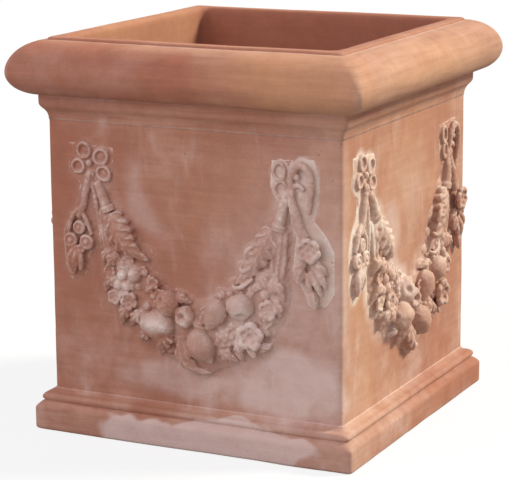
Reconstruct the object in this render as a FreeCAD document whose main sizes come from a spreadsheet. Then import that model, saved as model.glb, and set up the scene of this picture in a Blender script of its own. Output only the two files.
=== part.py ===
"""A square terracotta planter made of clay slabs, coils, mouldings and pressed sprigs.

Millimetres, +Z up, origin at the centre of the underside. Every side piece is modelled on the +X
side, where its length runs along Y, and is then turned about Z to the side that it belongs to.
"""

import FreeCAD
import Part
import Sketcher
import math
import os

SIZES = {
    # Slab box
    "body_width": 416,
    "total_height": 521,
    "wall_thickness": 20,
    "lip_outer_round": 3,
    "lip_inner_round": 6,
    "floor_thickness": 25,
    "drain_diameter": 40,
    "corner_coil_leg": 14,
    "floor_coil_leg": 14,
    # Plinth, from the ground up
    "plinth_projection": 21.5,
    "fascia_height": 31,
    "slope_run": 6,
    "slope_rise": 6,
    "bead_setback": 9.8,
    "bead_gap": 1,
    "bead_height": 10,
    "cap_run": 6,
    "cap_rise": 1.5,
    "cap_weathering": 5.5,
    "plinth_arris": 0.8,
    # Neck, a cove and a fillet under the rim
    "neck_projection": 10,
    "neck_fillet": 17,
    "neck_cove": 16,
    "neck_arris": 1.5,
    # Rim roll, measured down from the lip
    "rim_projection": 42,
    "rim_drop": 73,
    "rim_belly_drop": 43,
    "rim_step": 5.5,
    "rim_seat": 12,
    "rim_ledge": 4.5,
    # Bow and pendant sprig, hung from the middle of the bow
    "bow_inset": 61,
    "bow_hang": 54,
    "bow_ground": 3,
    "loop_radius": 12,
    "loop_hole": 6,
    "loop_relief": 9,
    "ribbon_radius": 6,
    "pendant_length": 150,
    "rosette_width": 25,
    "rosette_relief": 18,
    "pod_radius": 10,
    # Festoon sprig, hung between the bows on a half ellipse
    "festoon_from_bow": 32,
    "festoon_above_plinth": 50,
    "stem_ground": 4,
    "fruit_ground": 9,
    "sprig_gap": 0.5,
    "fruit_relief": 25,
    "berry_relief": 15,
    "apple_width": 34,
    "quince_length": 50,
    "quince_width": 36,
    "lemon_length": 46,
    "lemon_width": 36,
    "pear_length": 38,
    "pear_width": 28,
    "berry_width": 18,
    "flower_width": 36,
    "small_flower_width": 24,
    "band_radius": 11,
    "band_rise": 31,
    "band_lean": 15,
    "stem_length": 66,
    "stem_radius": 6.5,
    "leaf_length": 44,
    "leaf_width": 36,
    "leaf_relief": 11,
    "leaf_radius": 8.5,
    "leaf_tip_radius": 2,
}

SIDES = {"right": 0, "back": 90, "left": 180, "front": 270}
CORNERS = {"right_back": 0, "back_left": 90, "left_front": 180, "front_right": 270}
HANDS = {"left": -1, "right": 1}

SPARE_CUT = 10
COIL_HOLLOW = 2

# How many flats the small forms of a sprig are cut in, and their shapes as shares of their sizes
FRUIT_FLATS = 12
BERRY_FLATS = 8
FRUIT_LATITUDES = (0, 34, 66)
RIB_FLATS = 4
LOOP_FLATS = 8
BALL_LIFT = 0.6
PETAL_COUNT = 5
PETAL_NOTCH = 0.72
ROSETTE_TAPER = 0.85
LEAF_LOBES = 4
LEAF_POINT = 0.72
LEAF_NOTCH = 0.62
LEAF_SWELL = 0.8
LEAF_TAPER = 0.75

# Outwards and up from the middle of the bow: loops in loop radii, the rest in pendant lengths
LOOP_PLACES = ((0.6, 1.25), (-1.5, 0.9), (1.15, -0.35), (-1.9, -0.9))
KNOT_RUN = ((-0.05, 0.05), (-0.01, -0.16))
RIBBON_RUN = ((0, -0.08), (0.11, -0.69))
POD_RUN = ((0.11, -0.67), (0.18, -1))
ROSETTE_PLACES = ((0.09, -0.53), (0.18, -0.68), (0.03, -0.69))

# Places on the swag: degrees round a half ellipse from the left band, and how far out from its
# middle, as a share of the way to its line
GROUND_START = 4
GROUND_FLATS = 20
GROUND_OUTER = 1.12
GROUND_INNER = 0.74
LEFT_APPLE = (68, 0.78)
QUINCE = (67, 0.97)
MEDLAR = (89, 0.81)
LEMON = (99, 1.01)
PEAR = (113, 0.81)
RIGHT_APPLE = (135, 0.95)
BERRIES = (
    (37, 0.84),
    (31, 0.96),
    (54, 0.84),
    (109, 1.06),
    (116, 1.04),
    (113, 1.12),
    (152, 0.94),
)
FLOWERS = ((43, 1.05), (131, 1.16))
SMALL_FLOWERS = ((55, 1.05), (143, 1.02))
HANGING_LEAVES = (
    ((88, 1.02), (98, 1.24)),
    ((71, 1.0), (71, 1.21)),
    ((50, 1.0), (49, 1.2)),
    ((34, 1.0), (32, 1.22)),
    ((118, 1.0), (117, 1.22)),
    ((146, 1.0), (145, 1.2)),
    ((82, 0.84), (90, 0.69)),
    ((124, 0.86), (117, 0.7)),
)

# Degrees that a long fruit leans, up at its right end
QUINCE_TILT = -25
LEMON_TILT = -60
PEAR_TILT = 60

# Inwards from the band at the top and foot, in stem radii
STEM_SPREAD = ((-1.4, -0.9), (-0.3, 0.9), (0.9, 2.6))
# Inwards from the band in leaf lengths and down in stem lengths, at the root and the tip
LEAF_RUN = ((0.05, 0.05), (1.2, 0.95))

OUTWARD = FreeCAD.Vector(1, 0, 0)
UPWARD = FreeCAD.Vector(0, 0, 1)


class Size:
    """A length: its value now, and the sheet expression that keeps it up to date."""

    def __init__(self, value, text):
        self.value = value
        self.text = text

    def combine(self, sign, other, value):
        return Size(value, f"({self.text} {sign} {other.text})")

    def __add__(self, other):
        other = as_size(other)
        return self.combine("+", other, self.value + other.value)

    def __sub__(self, other):
        other = as_size(other)
        return self.combine("-", other, self.value - other.value)

    def __mul__(self, other):
        other = as_size(other)
        return self.combine("*", other, self.value * other.value)

    def __truediv__(self, other):
        other = as_size(other)
        return self.combine("/", other, self.value / other.value)

    def __neg__(self):
        return self * -1


def as_size(number):
    return number if isinstance(number, Size) else Size(number, f"({number})")


def size(alias):
    return Size(SIZES[alias], f"Sizes.{alias}")


def fill_sheet(doc):
    """The driving dimensions, one a row, with their names as aliases."""
    sheet = doc.addObject("Spreadsheet::Sheet", "Sizes")
    for row, (alias, number) in enumerate(SIZES.items(), start=1):
        sheet.set(f"A{row}", alias)
        sheet.set(f"B{row}", str(number))
        sheet.setAlias(f"B{row}", alias)
    doc.recompute()
    return sheet


def bind(item, prop, length):
    item.setExpression(prop, length.text)


def arc_centre(start, end, axis, fixed):
    """The centre of an arc between two points, when one of its coordinates is given."""
    (x0, y0), (x1, y1) = start, end
    square = (x1 * x1 + y1 * y1 - x0 * x0 - y0 * y0) / 2
    if axis == "x":
        return fixed, (square - fixed * (x1 - x0)) / (y1 - y0)
    return (square - fixed * (y1 - y0)) / (x1 - x0), fixed


def add_segment(sketch, start, end, bend):
    """Draws a straight run or an arc, and says which of its ends is the start."""
    flat_start = FreeCAD.Vector(*start, 0)
    if bend is None:
        line = sketch.addGeometry(Part.LineSegment(flat_start, FreeCAD.Vector(*end, 0)))
        return line, 1, 2
    axis, fixed, turn = bend
    centre = FreeCAD.Vector(*arc_centre(start, end, axis, fixed.value), 0)
    circle = Part.Circle(centre, UPWARD, flat_start.distanceToPoint(centre))
    angles = [math.atan2(y - centre.y, x - centre.x) for x, y in (start, end)]
    if turn == "right":
        angles.reverse()
    arc = sketch.addGeometry(Part.ArcOfCircle(circle, *angles))
    distance = "DistanceX" if axis == "x" else "DistanceY"
    index = sketch.addConstraint(Sketcher.Constraint(distance, -1, 1, arc, 3, fixed.value))
    sketch.setExpression(f"Constraints[{index}]", fixed.text)
    return (arc, 1, 2) if turn == "left" else (arc, 2, 1)


def add_outline(sketch, corners):
    """A closed outline. A corner is (across, up), or (across, up, bend) before an arc."""
    places = [(as_size(corner[0]), as_size(corner[1])) for corner in corners]
    points = [(across.value, up.value) for across, up in places]
    bends = [corner[2] if len(corner) > 2 else None for corner in corners]
    count = len(corners)
    runs = [add_segment(sketch, points[i], points[(i + 1) % count], bends[i]) for i in range(count)]
    for i, (run, first, last) in enumerate(runs):
        following, start, _ = runs[(i + 1) % count]
        sketch.addConstraint(Sketcher.Constraint("Coincident", run, last, following, start))
        for distance, place in zip(("DistanceX", "DistanceY"), places[i]):
            index = sketch.addConstraint(
                Sketcher.Constraint(distance, -1, 1, run, first, place.value)
            )
            sketch.setExpression(f"Constraints[{index}]", place.text)


def draw(body, name, plane, *outlines, offset=None):
    """A sketch of closed outlines on an origin plane, or at an offset in front of it."""
    sketch = body.newObject("Sketcher::SketchObject", name)
    support = [item for item in body.Origin.OriginFeatures if item.Role == plane]
    sketch.AttachmentSupport = [(support[0], "")]
    sketch.MapMode = "FlatFace"
    if offset is not None:
        bind(sketch, "AttachmentOffset.Base.z", offset)
    for outline in outlines:
        add_outline(sketch, outline)
    return sketch


def pad(body, sketch, length, symmetric=False):
    feature = body.newObject("PartDesign::Pad", f"{sketch.Name}Pad")
    feature.Profile = sketch
    feature.SideType = "Symmetric" if symmetric else "One side"
    bind(feature, "Length", length)


def pocket_upwards(body, sketch, height):
    """Cuts from the ground plane upwards."""
    feature = body.newObject("PartDesign::Pocket", f"{sketch.Name}Pocket")
    feature.Profile = sketch
    feature.Reversed = True
    bind(feature, "Length", height)


def new_body(doc, label):
    body = doc.addObject("PartDesign::Body", label)
    body.Label = label
    return body


def turned_copy(doc, label, form, angle):
    """One more piece like the form, turned about the upright axis to its own place."""
    body = new_body(doc, label)
    body.BaseFeature = form
    body.Placement = FreeCAD.Placement(FreeCAD.Vector(), FreeCAD.Rotation(UPWARD, angle))
    return body


# Shared places, measured from the upright axis of the planter or from the ground

wall_face = size("body_width") / 2
wall_inside = wall_face - size("wall_thickness")
lip_height = size("total_height")
floor_top = size("floor_thickness")
rim_bottom = lip_height - size("rim_drop")
fascia_top = size("fascia_height")
slope_top = fascia_top + size("slope_rise")
bead_bottom = slope_top + size("bead_gap")
bead_top = bead_bottom + size("bead_height")
cap_top = bead_top + size("cap_rise")
plinth_top = cap_top + size("cap_weathering")
neck_bottom = rim_bottom - size("neck_fillet") - size("neck_cove")
mitre_reach = wall_face + size("rim_projection") + SPARE_CUT
bow_across = (wall_face - size("bow_inset")).value
bow_up = (neck_bottom - size("bow_hang")).value
bow_bottom = bow_up + (min(up for _, up in LOOP_PLACES) - 1) * SIZES["loop_radius"]


def mitre_ends(body):
    """Cuts both ends of a length at 45 degrees, along the upright planes through the corners."""
    ends = [
        [(0, 0), (mitre_reach, mitre_reach * hand), (0, mitre_reach * hand)] for hand in HANDS.values()
    ]
    pocket_upwards(body, draw(body, "Mitre", "XY_Plane", *ends), lip_height + SPARE_CUT)


def corner_coil_outline(hand):
    """The hollow triangle, seen from above, that fills the inside corner at one end of a side."""
    leg = size("corner_coil_leg")
    far = wall_inside * hand
    near = (wall_inside - leg) * hand
    hollow = ("x", wall_inside - leg * COIL_HOLLOW, "right" if hand > 0 else "left")
    return [(wall_inside, far), (wall_inside - leg, far, hollow), (wall_inside, near)]


def make_floor(doc):
    body = new_body(doc, "floor_slab")
    square = [
        (-wall_inside, -wall_inside),
        (wall_inside, -wall_inside),
        (wall_inside, wall_inside),
        (-wall_inside, wall_inside),
    ]
    pad(body, draw(body, "Slab", "XY_Plane", square), floor_top)
    drain = body.newObject("PartDesign::SubtractiveCylinder", "Drain")
    bind(drain, "Radius", size("drain_diameter") / 2)
    bind(drain, "Height", floor_top)
    return body


def make_length(doc, name, section, half_length):
    """A mitred length that follows one side, from the section that a template would cut."""
    body = new_body(doc, f"{name}_length")
    pad(body, draw(body, "Section", "XZ_Plane", section), half_length * 2, symmetric=True)
    mitre_ends(body)
    return body


def make_wall(doc):
    """A slab on edge with its lip rounded, more on the inside than under the rim."""
    outer = size("lip_outer_round")
    inner = size("lip_inner_round")
    section = [
        (wall_inside, 0),
        (wall_face, 0),
        (wall_face, lip_height - outer, ("y", lip_height - outer, "left")),
        (wall_face - outer, lip_height),
        (wall_inside + inner, lip_height, ("y", lip_height - inner, "left")),
        (wall_inside, lip_height - inner),
    ]
    return make_length(doc, "wall", section, wall_face)


def make_corner_coil(doc):
    body = new_body(doc, "corner_coil_length")
    sketch = draw(body, "Section", "XY_Plane", corner_coil_outline(1), offset=floor_top)
    pad(body, sketch, lip_height - size("lip_inner_round") - floor_top)
    return body


def make_floor_coil(doc):
    """A coil along the foot of a wall, mitred, and cut back to the upright coils in the corners."""
    leg = size("floor_coil_leg")
    hollow = ("x", wall_inside - leg * COIL_HOLLOW, "right")
    section = [
        (wall_inside, floor_top),
        (wall_inside, floor_top + leg, hollow),
        (wall_inside - leg, floor_top),
    ]
    body = make_length(doc, "floor_coil", section, wall_inside)
    corners = [corner_coil_outline(hand) for hand in HANDS.values()]
    pocket_upwards(body, draw(body, "Corners", "XY_Plane", *corners), lip_height)
    return body


def make_plinth(doc):
    """A tall fascia, a slope, a half round bead in a groove, and a weathered cap against the wall."""
    face = wall_face + size("plinth_projection")
    bead_seat = wall_face + size("bead_setback")
    section = [
        (wall_face, 0),
        (face, 0),
        (face, fascia_top),
        (face - size("slope_run"), slope_top),
        (bead_seat, bead_bottom, ("x", bead_seat, "left")),
        (bead_seat, bead_top),
        (bead_seat - size("cap_run"), cap_top),
        (wall_face + size("plinth_arris"), plinth_top),
        (wall_face, plinth_top),
    ]
    return make_length(doc, "plinth", section, face)


def make_neck(doc):
    """A cove that leaves the wall upright, and the plain fillet above it that the rim sits on."""
    face = wall_face + size("neck_projection")
    section = [
        (wall_face, neck_bottom),
        (wall_face + size("neck_arris"), neck_bottom, ("y", neck_bottom, "right")),
        (face, neck_bottom + size("neck_cove")),
        (face, rim_bottom),
        (wall_face, rim_bottom),
    ]
    return make_length(doc, "neck", section, face)


def make_rim(doc):
    """A thick roll, flat where it sits on the neck, tighter below its belly than above it."""
    face = wall_face + size("rim_projection")
    belly = lip_height - size("rim_belly_drop")
    top = lip_height - size("rim_step")
    section = [
        (wall_face, rim_bottom),
        (wall_face + size("rim_seat"), rim_bottom, ("y", belly, "left")),
        (face, belly, ("y", belly, "left")),
        (wall_face + size("rim_ledge"), top),
        (wall_face, top),
    ]
    return make_length(doc, "rim", section, face)


def on_wall(across, up, relief):
    """A point in front of the +X wall: how far along it, how high, and how far off its face."""
    return FreeCAD.Vector(wall_face.value + relief, across, up)


def flat_sided(rings):
    """A solid with flat faces from ring to ring of corners, closed at both ends."""
    loops = [rings[0], rings[-1]]
    for lower, upper in zip(rings, rings[1:]):
        for index in range(len(lower)):
            loops.append([lower[index - 1], lower[index], upper[index], upper[index - 1]])
    return Part.Solid(Part.Shell([Part.Face(Part.makePolygon(loop + loop[:1])) for loop in loops]))


def fruit(place, length, width, relief, tilt=0, flats=FRUIT_FLATS):
    """A ball, or an egg if it is longer than wide, cut flat where it is stuck to the wall."""
    across, up = place
    lean = math.radians(tilt)
    rings = []
    for latitude in [-math.asin(BALL_LIFT), *map(math.radians, FRUIT_LATITUDES)]:
        height = relief * (BALL_LIFT + math.sin(latitude)) / (BALL_LIFT + 1)
        ring = []
        for flat in range(flats):
            turn = math.tau * flat / flats
            along = length / 2 * math.cos(latitude) * math.cos(turn)
            aside = width / 2 * math.cos(latitude) * math.sin(turn)
            right = along * math.cos(lean) - aside * math.sin(lean)
            rise = along * math.sin(lean) + aside * math.cos(lean)
            ring.append(on_wall(across + right, up + rise, height))
        rings.append(ring)
    return flat_sided(rings)


def rib(start, end, start_radius, end_radius):
    """A half round, tapered length lying on the wall from one place to another."""
    lean = math.atan2(end[1] - start[1], end[0] - start[0])
    rings = []
    for (across, up), radius in ((start, start_radius), (end, end_radius)):
        turns = [math.pi * flat / RIB_FLATS for flat in range(RIB_FLATS + 1)]
        rings.append(
            [
                on_wall(
                    across - radius * math.cos(turn) * math.sin(lean),
                    up + radius * math.cos(turn) * math.cos(lean),
                    radius * math.sin(turn),
                )
                for turn in turns
            ]
        )
    return flat_sided(rings)


def polygon(place, radii, relief):
    """Corners evenly round a place, at one radius after another."""
    across, up = place
    turns = [math.tau * index / len(radii) for index in range(len(radii))]
    return [
        on_wall(across + radius * math.cos(turn), up + radius * math.sin(turn), relief)
        for radius, turn in zip(radii, turns)
    ]


def rosette(place, radius, relief):
    """A flower of pointed petals that narrows a little from the wall outwards."""
    petals = [reach for _ in range(PETAL_COUNT) for reach in (radius, radius * PETAL_NOTCH)]
    face = [reach * ROSETTE_TAPER for reach in petals]
    return flat_sided([polygon(place, petals, 0), polygon(place, face, relief)])


def leaf_blade(root, tip, width, relief):
    """A leaf with pointed lobes that lies on the wall and narrows from it outwards."""
    side = [(0, 0)]
    for lobe in range(LEAF_LOBES):
        for reach, stretch in ((LEAF_POINT, 1), (1, LEAF_NOTCH)):
            share = (lobe + reach) / LEAF_LOBES
            side.append((share, stretch * math.sin(math.pi * share**LEAF_SWELL)))
    outline = [(share, -aside) for share, aside in side] + side[-2:0:-1]
    ahead, rise = tip[0] - root[0], tip[1] - root[1]
    half = width / 2 / math.hypot(ahead, rise)
    rings = []
    for scale, height in ((1, 0), (LEAF_TAPER, relief)):
        ring = []
        for share, aside in outline:
            along = 0.5 + (share - 0.5) * scale
            off = aside * half * scale
            across = root[0] + along * ahead - off * rise
            ring.append(on_wall(across, root[1] + along * rise + off * ahead, height))
        rings.append(ring)
    return flat_sided(rings)


def plate(corners, relief):
    """A flat ground of the given outline."""
    return Part.Face(Part.makePolygon(corners + corners[:1])).extrude(OUTWARD * relief)


def ribbon_loop(place, radius, hole, relief):
    """A loop of ribbon on edge."""
    edges = [polygon(place, [reach for _ in range(LOOP_FLATS)], 0) for reach in (radius, hole)]
    rings = [Part.makePolygon(edge + edge[:1]) for edge in edges]
    return Part.makeFace(rings, "Part::FaceMakerBullseye").extrude(OUTWARD * relief)


def press(doc, label, forms):
    """One sprig as it leaves its mould: its forms joined into a single solid."""
    mould = doc.addObject("Part::Feature", label)
    mould.Shape = forms[0].multiFuse(forms[1:]).removeSplitter()
    return mould


def make_festoon(doc, sheet):
    """Fruit on a raised ground, with fluted stems, a lobed leaf and a wrapped band at each end."""
    span = bow_across - sheet.get("festoon_from_bow")
    high = sheet.get("fruit_relief")
    low = sheet.get("berry_relief")
    band = sheet.get("band_radius")
    band_rise = sheet.get("band_rise")
    middle = bow_bottom - sheet.get("sprig_gap") - band_rise - band / 2
    lowest = plinth_top.value + sheet.get("festoon_above_plinth")
    drop = (middle - lowest) / max(share for leaf in HANGING_LEAVES for _, share in leaf)

    def on_swag(degrees, share):
        turn = math.radians(degrees)
        return -span * share * math.cos(turn), middle - drop * share * math.sin(turn)

    def ground(start, relief):
        sweep = (180 - 2 * start) / GROUND_FLATS
        turns = [start + sweep * flat for flat in range(GROUND_FLATS + 1)]
        outer, inner = (
            [on_wall(*on_swag(turn, share), 0) for turn in turns] for share in (GROUND_OUTER, GROUND_INNER)
        )
        return plate(outer + inner[::-1], relief)

    stem = sheet.get("stem_radius")
    stem_length = sheet.get("stem_length")
    stem_foot = math.degrees(math.asin(stem_length / drop))
    forms = [
        ground(GROUND_START, sheet.get("stem_ground")),
        ground(stem_foot, sheet.get("fruit_ground")),
    ]

    apple = sheet.get("apple_width")
    pear = sheet.get("pear_width")
    quince = sheet.get("quince_length"), sheet.get("quince_width")
    lemon = sheet.get("lemon_length"), sheet.get("lemon_width")
    berry = sheet.get("berry_width")
    flower = sheet.get("flower_width")
    small_flower = sheet.get("small_flower_width")
    forms += [
        fruit(on_swag(*LEFT_APPLE), apple, apple, high),
        fruit(on_swag(*QUINCE), *quince, high, QUINCE_TILT),
        fruit(on_swag(*MEDLAR), pear, pear, high),
        fruit(on_swag(*LEMON), *lemon, high, LEMON_TILT),
        fruit(on_swag(*PEAR), sheet.get("pear_length"), pear, high, PEAR_TILT),
        fruit(on_swag(*RIGHT_APPLE), apple, apple, high),
    ]
    for place in BERRIES:
        forms.append(fruit(on_swag(*place), berry, berry, low, flats=BERRY_FLATS))
    for places, width in ((FLOWERS, flower), (SMALL_FLOWERS, small_flower)):
        for place in places:
            forms.append(rosette(on_swag(*place), width / 2, low))

    leaf = sheet.get("leaf_radius")
    leaf_length = sheet.get("leaf_length")
    tip = sheet.get("leaf_tip_radius")
    for root, point in HANGING_LEAVES:
        forms.append(rib(on_swag(*root), on_swag(*point), leaf, tip))
    for hand in HANDS.values():

        def beside_band(inward, up):
            return (span - inward) * hand, middle + up

        band_top = beside_band(-sheet.get("band_lean"), band_rise)
        forms.append(rib(band_top, beside_band(0, 0), band, band))
        for top_in, foot_in in STEM_SPREAD:
            foot = beside_band(foot_in * stem, -stem_length)
            forms.append(rib(beside_band(top_in * stem, 0), foot, stem, stem))
        root, point = (beside_band(inward * leaf_length, -down * stem_length) for inward, down in LEAF_RUN)
        forms.append(leaf_blade(root, point, sheet.get("leaf_width"), sheet.get("leaf_relief")))
    return press(doc, "festoon_mould", forms)


def make_drop(doc, sheet, name, hand):
    """A bow of four ribbon loops, and a ribbon that carries three rosettes and a pod."""
    loop = sheet.get("loop_radius")
    length = sheet.get("pendant_length")
    ribbon = sheet.get("ribbon_radius")
    pod = sheet.get("pod_radius")

    def from_bow(outward, up):
        return (bow_across + outward) * hand, bow_up + up

    loops = [(outward * loop, up * loop) for outward, up in LOOP_PLACES]
    outwards, ups = zip(*loops)
    patch = [
        on_wall(*from_bow(outward, up), 0)
        for outward, up in (
            (min(outwards) - loop, min(ups) - loop),
            (max(outwards) + loop, min(ups) - loop),
            (max(outwards) + loop, max(ups) + loop),
            (min(outwards) - loop, max(ups) + loop),
        )
    ]
    forms = [plate(patch, sheet.get("bow_ground"))]
    hole = sheet.get("loop_hole")
    for place in loops:
        forms.append(ribbon_loop(from_bow(*place), loop, hole, sheet.get("loop_relief")))
    for run, radii in (
        (KNOT_RUN, (ribbon, ribbon)),
        (RIBBON_RUN, (ribbon, pod)),
        (POD_RUN, (pod, sheet.get("leaf_tip_radius"))),
    ):
        ends = [from_bow(outward * length, up * length) for outward, up in run]
        forms.append(rib(*ends, *radii))
    rosette_radius = sheet.get("rosette_width") / 2
    for outward, up in ROSETTE_PLACES:
        place = from_bow(outward * length, up * length)
        forms.append(rosette(place, rosette_radius, sheet.get("rosette_relief")))
    return press(doc, f"drop_{name}_mould", forms)


def check(doc, pieces):
    for item in doc.Objects:
        if "Invalid" in item.State or "Error" in item.State:
            raise RuntimeError(f"{item.Label} failed: {item.State}")
    for piece in pieces:
        if piece.Shape.isNull() or not piece.Shape.isValid() or len(piece.Shape.Solids) != 1:
            raise RuntimeError(f"{piece.Label} is not one sound solid")


def main():
    doc = FreeCAD.newDocument("Planter")
    sheet = fill_sheet(doc)
    pieces = [make_floor(doc)]
    forms = {
        "wall": make_wall(doc),
        "floor_coil": make_floor_coil(doc),
        "plinth": make_plinth(doc),
        "neck": make_neck(doc),
        "rim": make_rim(doc),
        "festoon": make_festoon(doc, sheet),
    }
    for name, hand in HANDS.items():
        forms[f"drop_{name}"] = make_drop(doc, sheet, name, hand)
    for name, form in forms.items():
        for side, angle in SIDES.items():
            pieces.append(turned_copy(doc, f"{name}_{side}", form, angle))
    coil = make_corner_coil(doc)
    for corner, angle in CORNERS.items():
        pieces.append(turned_copy(doc, f"corner_coil_{corner}", coil, angle))
    doc.recompute()
    check(doc, pieces)
    os.makedirs("parts", exist_ok=True)
    for piece in pieces:
        piece.Shape.exportStep(os.path.join("parts", f"{piece.Label}.step"))
        box = piece.Shape.BoundBox
        print(f"{piece.Label}: {box.XLength:.1f} x {box.YLength:.1f} x {box.ZLength:.1f} mm")


if __name__ == "__main__":
    main()
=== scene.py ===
"""A square terracotta planter with fruit festoons: its look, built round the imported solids."""

import math
import random
from collections import namedtuple

import bmesh
import bpy
import numpy as np
from bpy.props import FloatProperty, FloatVectorProperty, IntProperty, PointerProperty
from mathutils import Euler, Matrix, Quaternion, Vector, noise
from mathutils.geometry import interpolate_bezier


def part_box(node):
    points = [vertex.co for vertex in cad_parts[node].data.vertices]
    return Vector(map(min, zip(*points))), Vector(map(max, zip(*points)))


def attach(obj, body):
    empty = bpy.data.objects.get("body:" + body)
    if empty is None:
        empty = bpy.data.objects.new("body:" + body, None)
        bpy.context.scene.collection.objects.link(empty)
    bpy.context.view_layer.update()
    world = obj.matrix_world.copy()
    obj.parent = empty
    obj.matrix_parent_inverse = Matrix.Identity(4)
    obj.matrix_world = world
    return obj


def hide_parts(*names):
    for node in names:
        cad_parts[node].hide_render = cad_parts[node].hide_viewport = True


bl_info = {
    "name": "Terracotta planter",
    "version": (1, 0, 0),
    "blender": (4, 5, 0),
    "location": "3D View > Sidebar > Planter",
    "description": "Builds the look of a square terracotta planter with fruit festoons",
    "category": "Object",
}

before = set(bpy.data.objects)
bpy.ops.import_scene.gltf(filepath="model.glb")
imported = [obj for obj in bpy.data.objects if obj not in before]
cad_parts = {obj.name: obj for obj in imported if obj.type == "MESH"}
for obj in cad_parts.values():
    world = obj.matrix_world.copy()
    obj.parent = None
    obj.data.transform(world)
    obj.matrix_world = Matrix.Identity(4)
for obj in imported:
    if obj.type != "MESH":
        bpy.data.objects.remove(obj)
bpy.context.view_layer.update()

MM = 0.001
BODY = "root"
SIDES = {"front": 0, "right": 90, "back": 180, "left": 270}
CORNERS = ("right_back", "back_left", "left_front", "front_right")

# Places of the solids, in metres from the upright axis or from the ground
WALL_INSIDE, _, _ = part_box("wall_right")[0]
WALL_FACE, _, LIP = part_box("wall_right")[1]
FLOOR_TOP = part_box("floor_slab")[1].z
PLINTH_FACE, _, PLINTH_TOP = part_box("plinth_right")[1]
NECK_FACE, _, NECK_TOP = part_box("neck_right")[1]
NECK_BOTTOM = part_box("neck_right")[0].z
RIM_FACE, _, RIM_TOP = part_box("rim_right")[1]
COIL_LEG = WALL_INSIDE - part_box("corner_coil_right_back")[0].x

# Steps of round stretches, and what sections and soft lines share
QUARTER = 90
ARC_STEPS = 8
LIP_STEPS = 4
MITRE_STEPS = 4
FOOT_STEPS = 6
BEAD_STEPS = 12
CAP_STEPS = 5
RIM_STEPS = (12, 16)
HANDLE_PARTS = 6
NEARLY_ALL = 0.9999
BITE = 4 * MM
NEAR = 1e-6

# A festoon, in millimetres: along the wall from its middle, up from the ground, out of the wall
Fruit = namedtuple("Fruit", "kind place length width turn lift height")
Flower = namedtuple("Flower", "place radius petals cup height")
Leaf = namedtuple("Leaf", "path width lobes")
Strand = namedtuple("Strand", "path radii flat")
Loop = namedtuple("Loop", "place radius thick stretch turn height")



def berry(place, width, height):
    return Fruit("berry", place, width, width, 0, 0, height)


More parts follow.
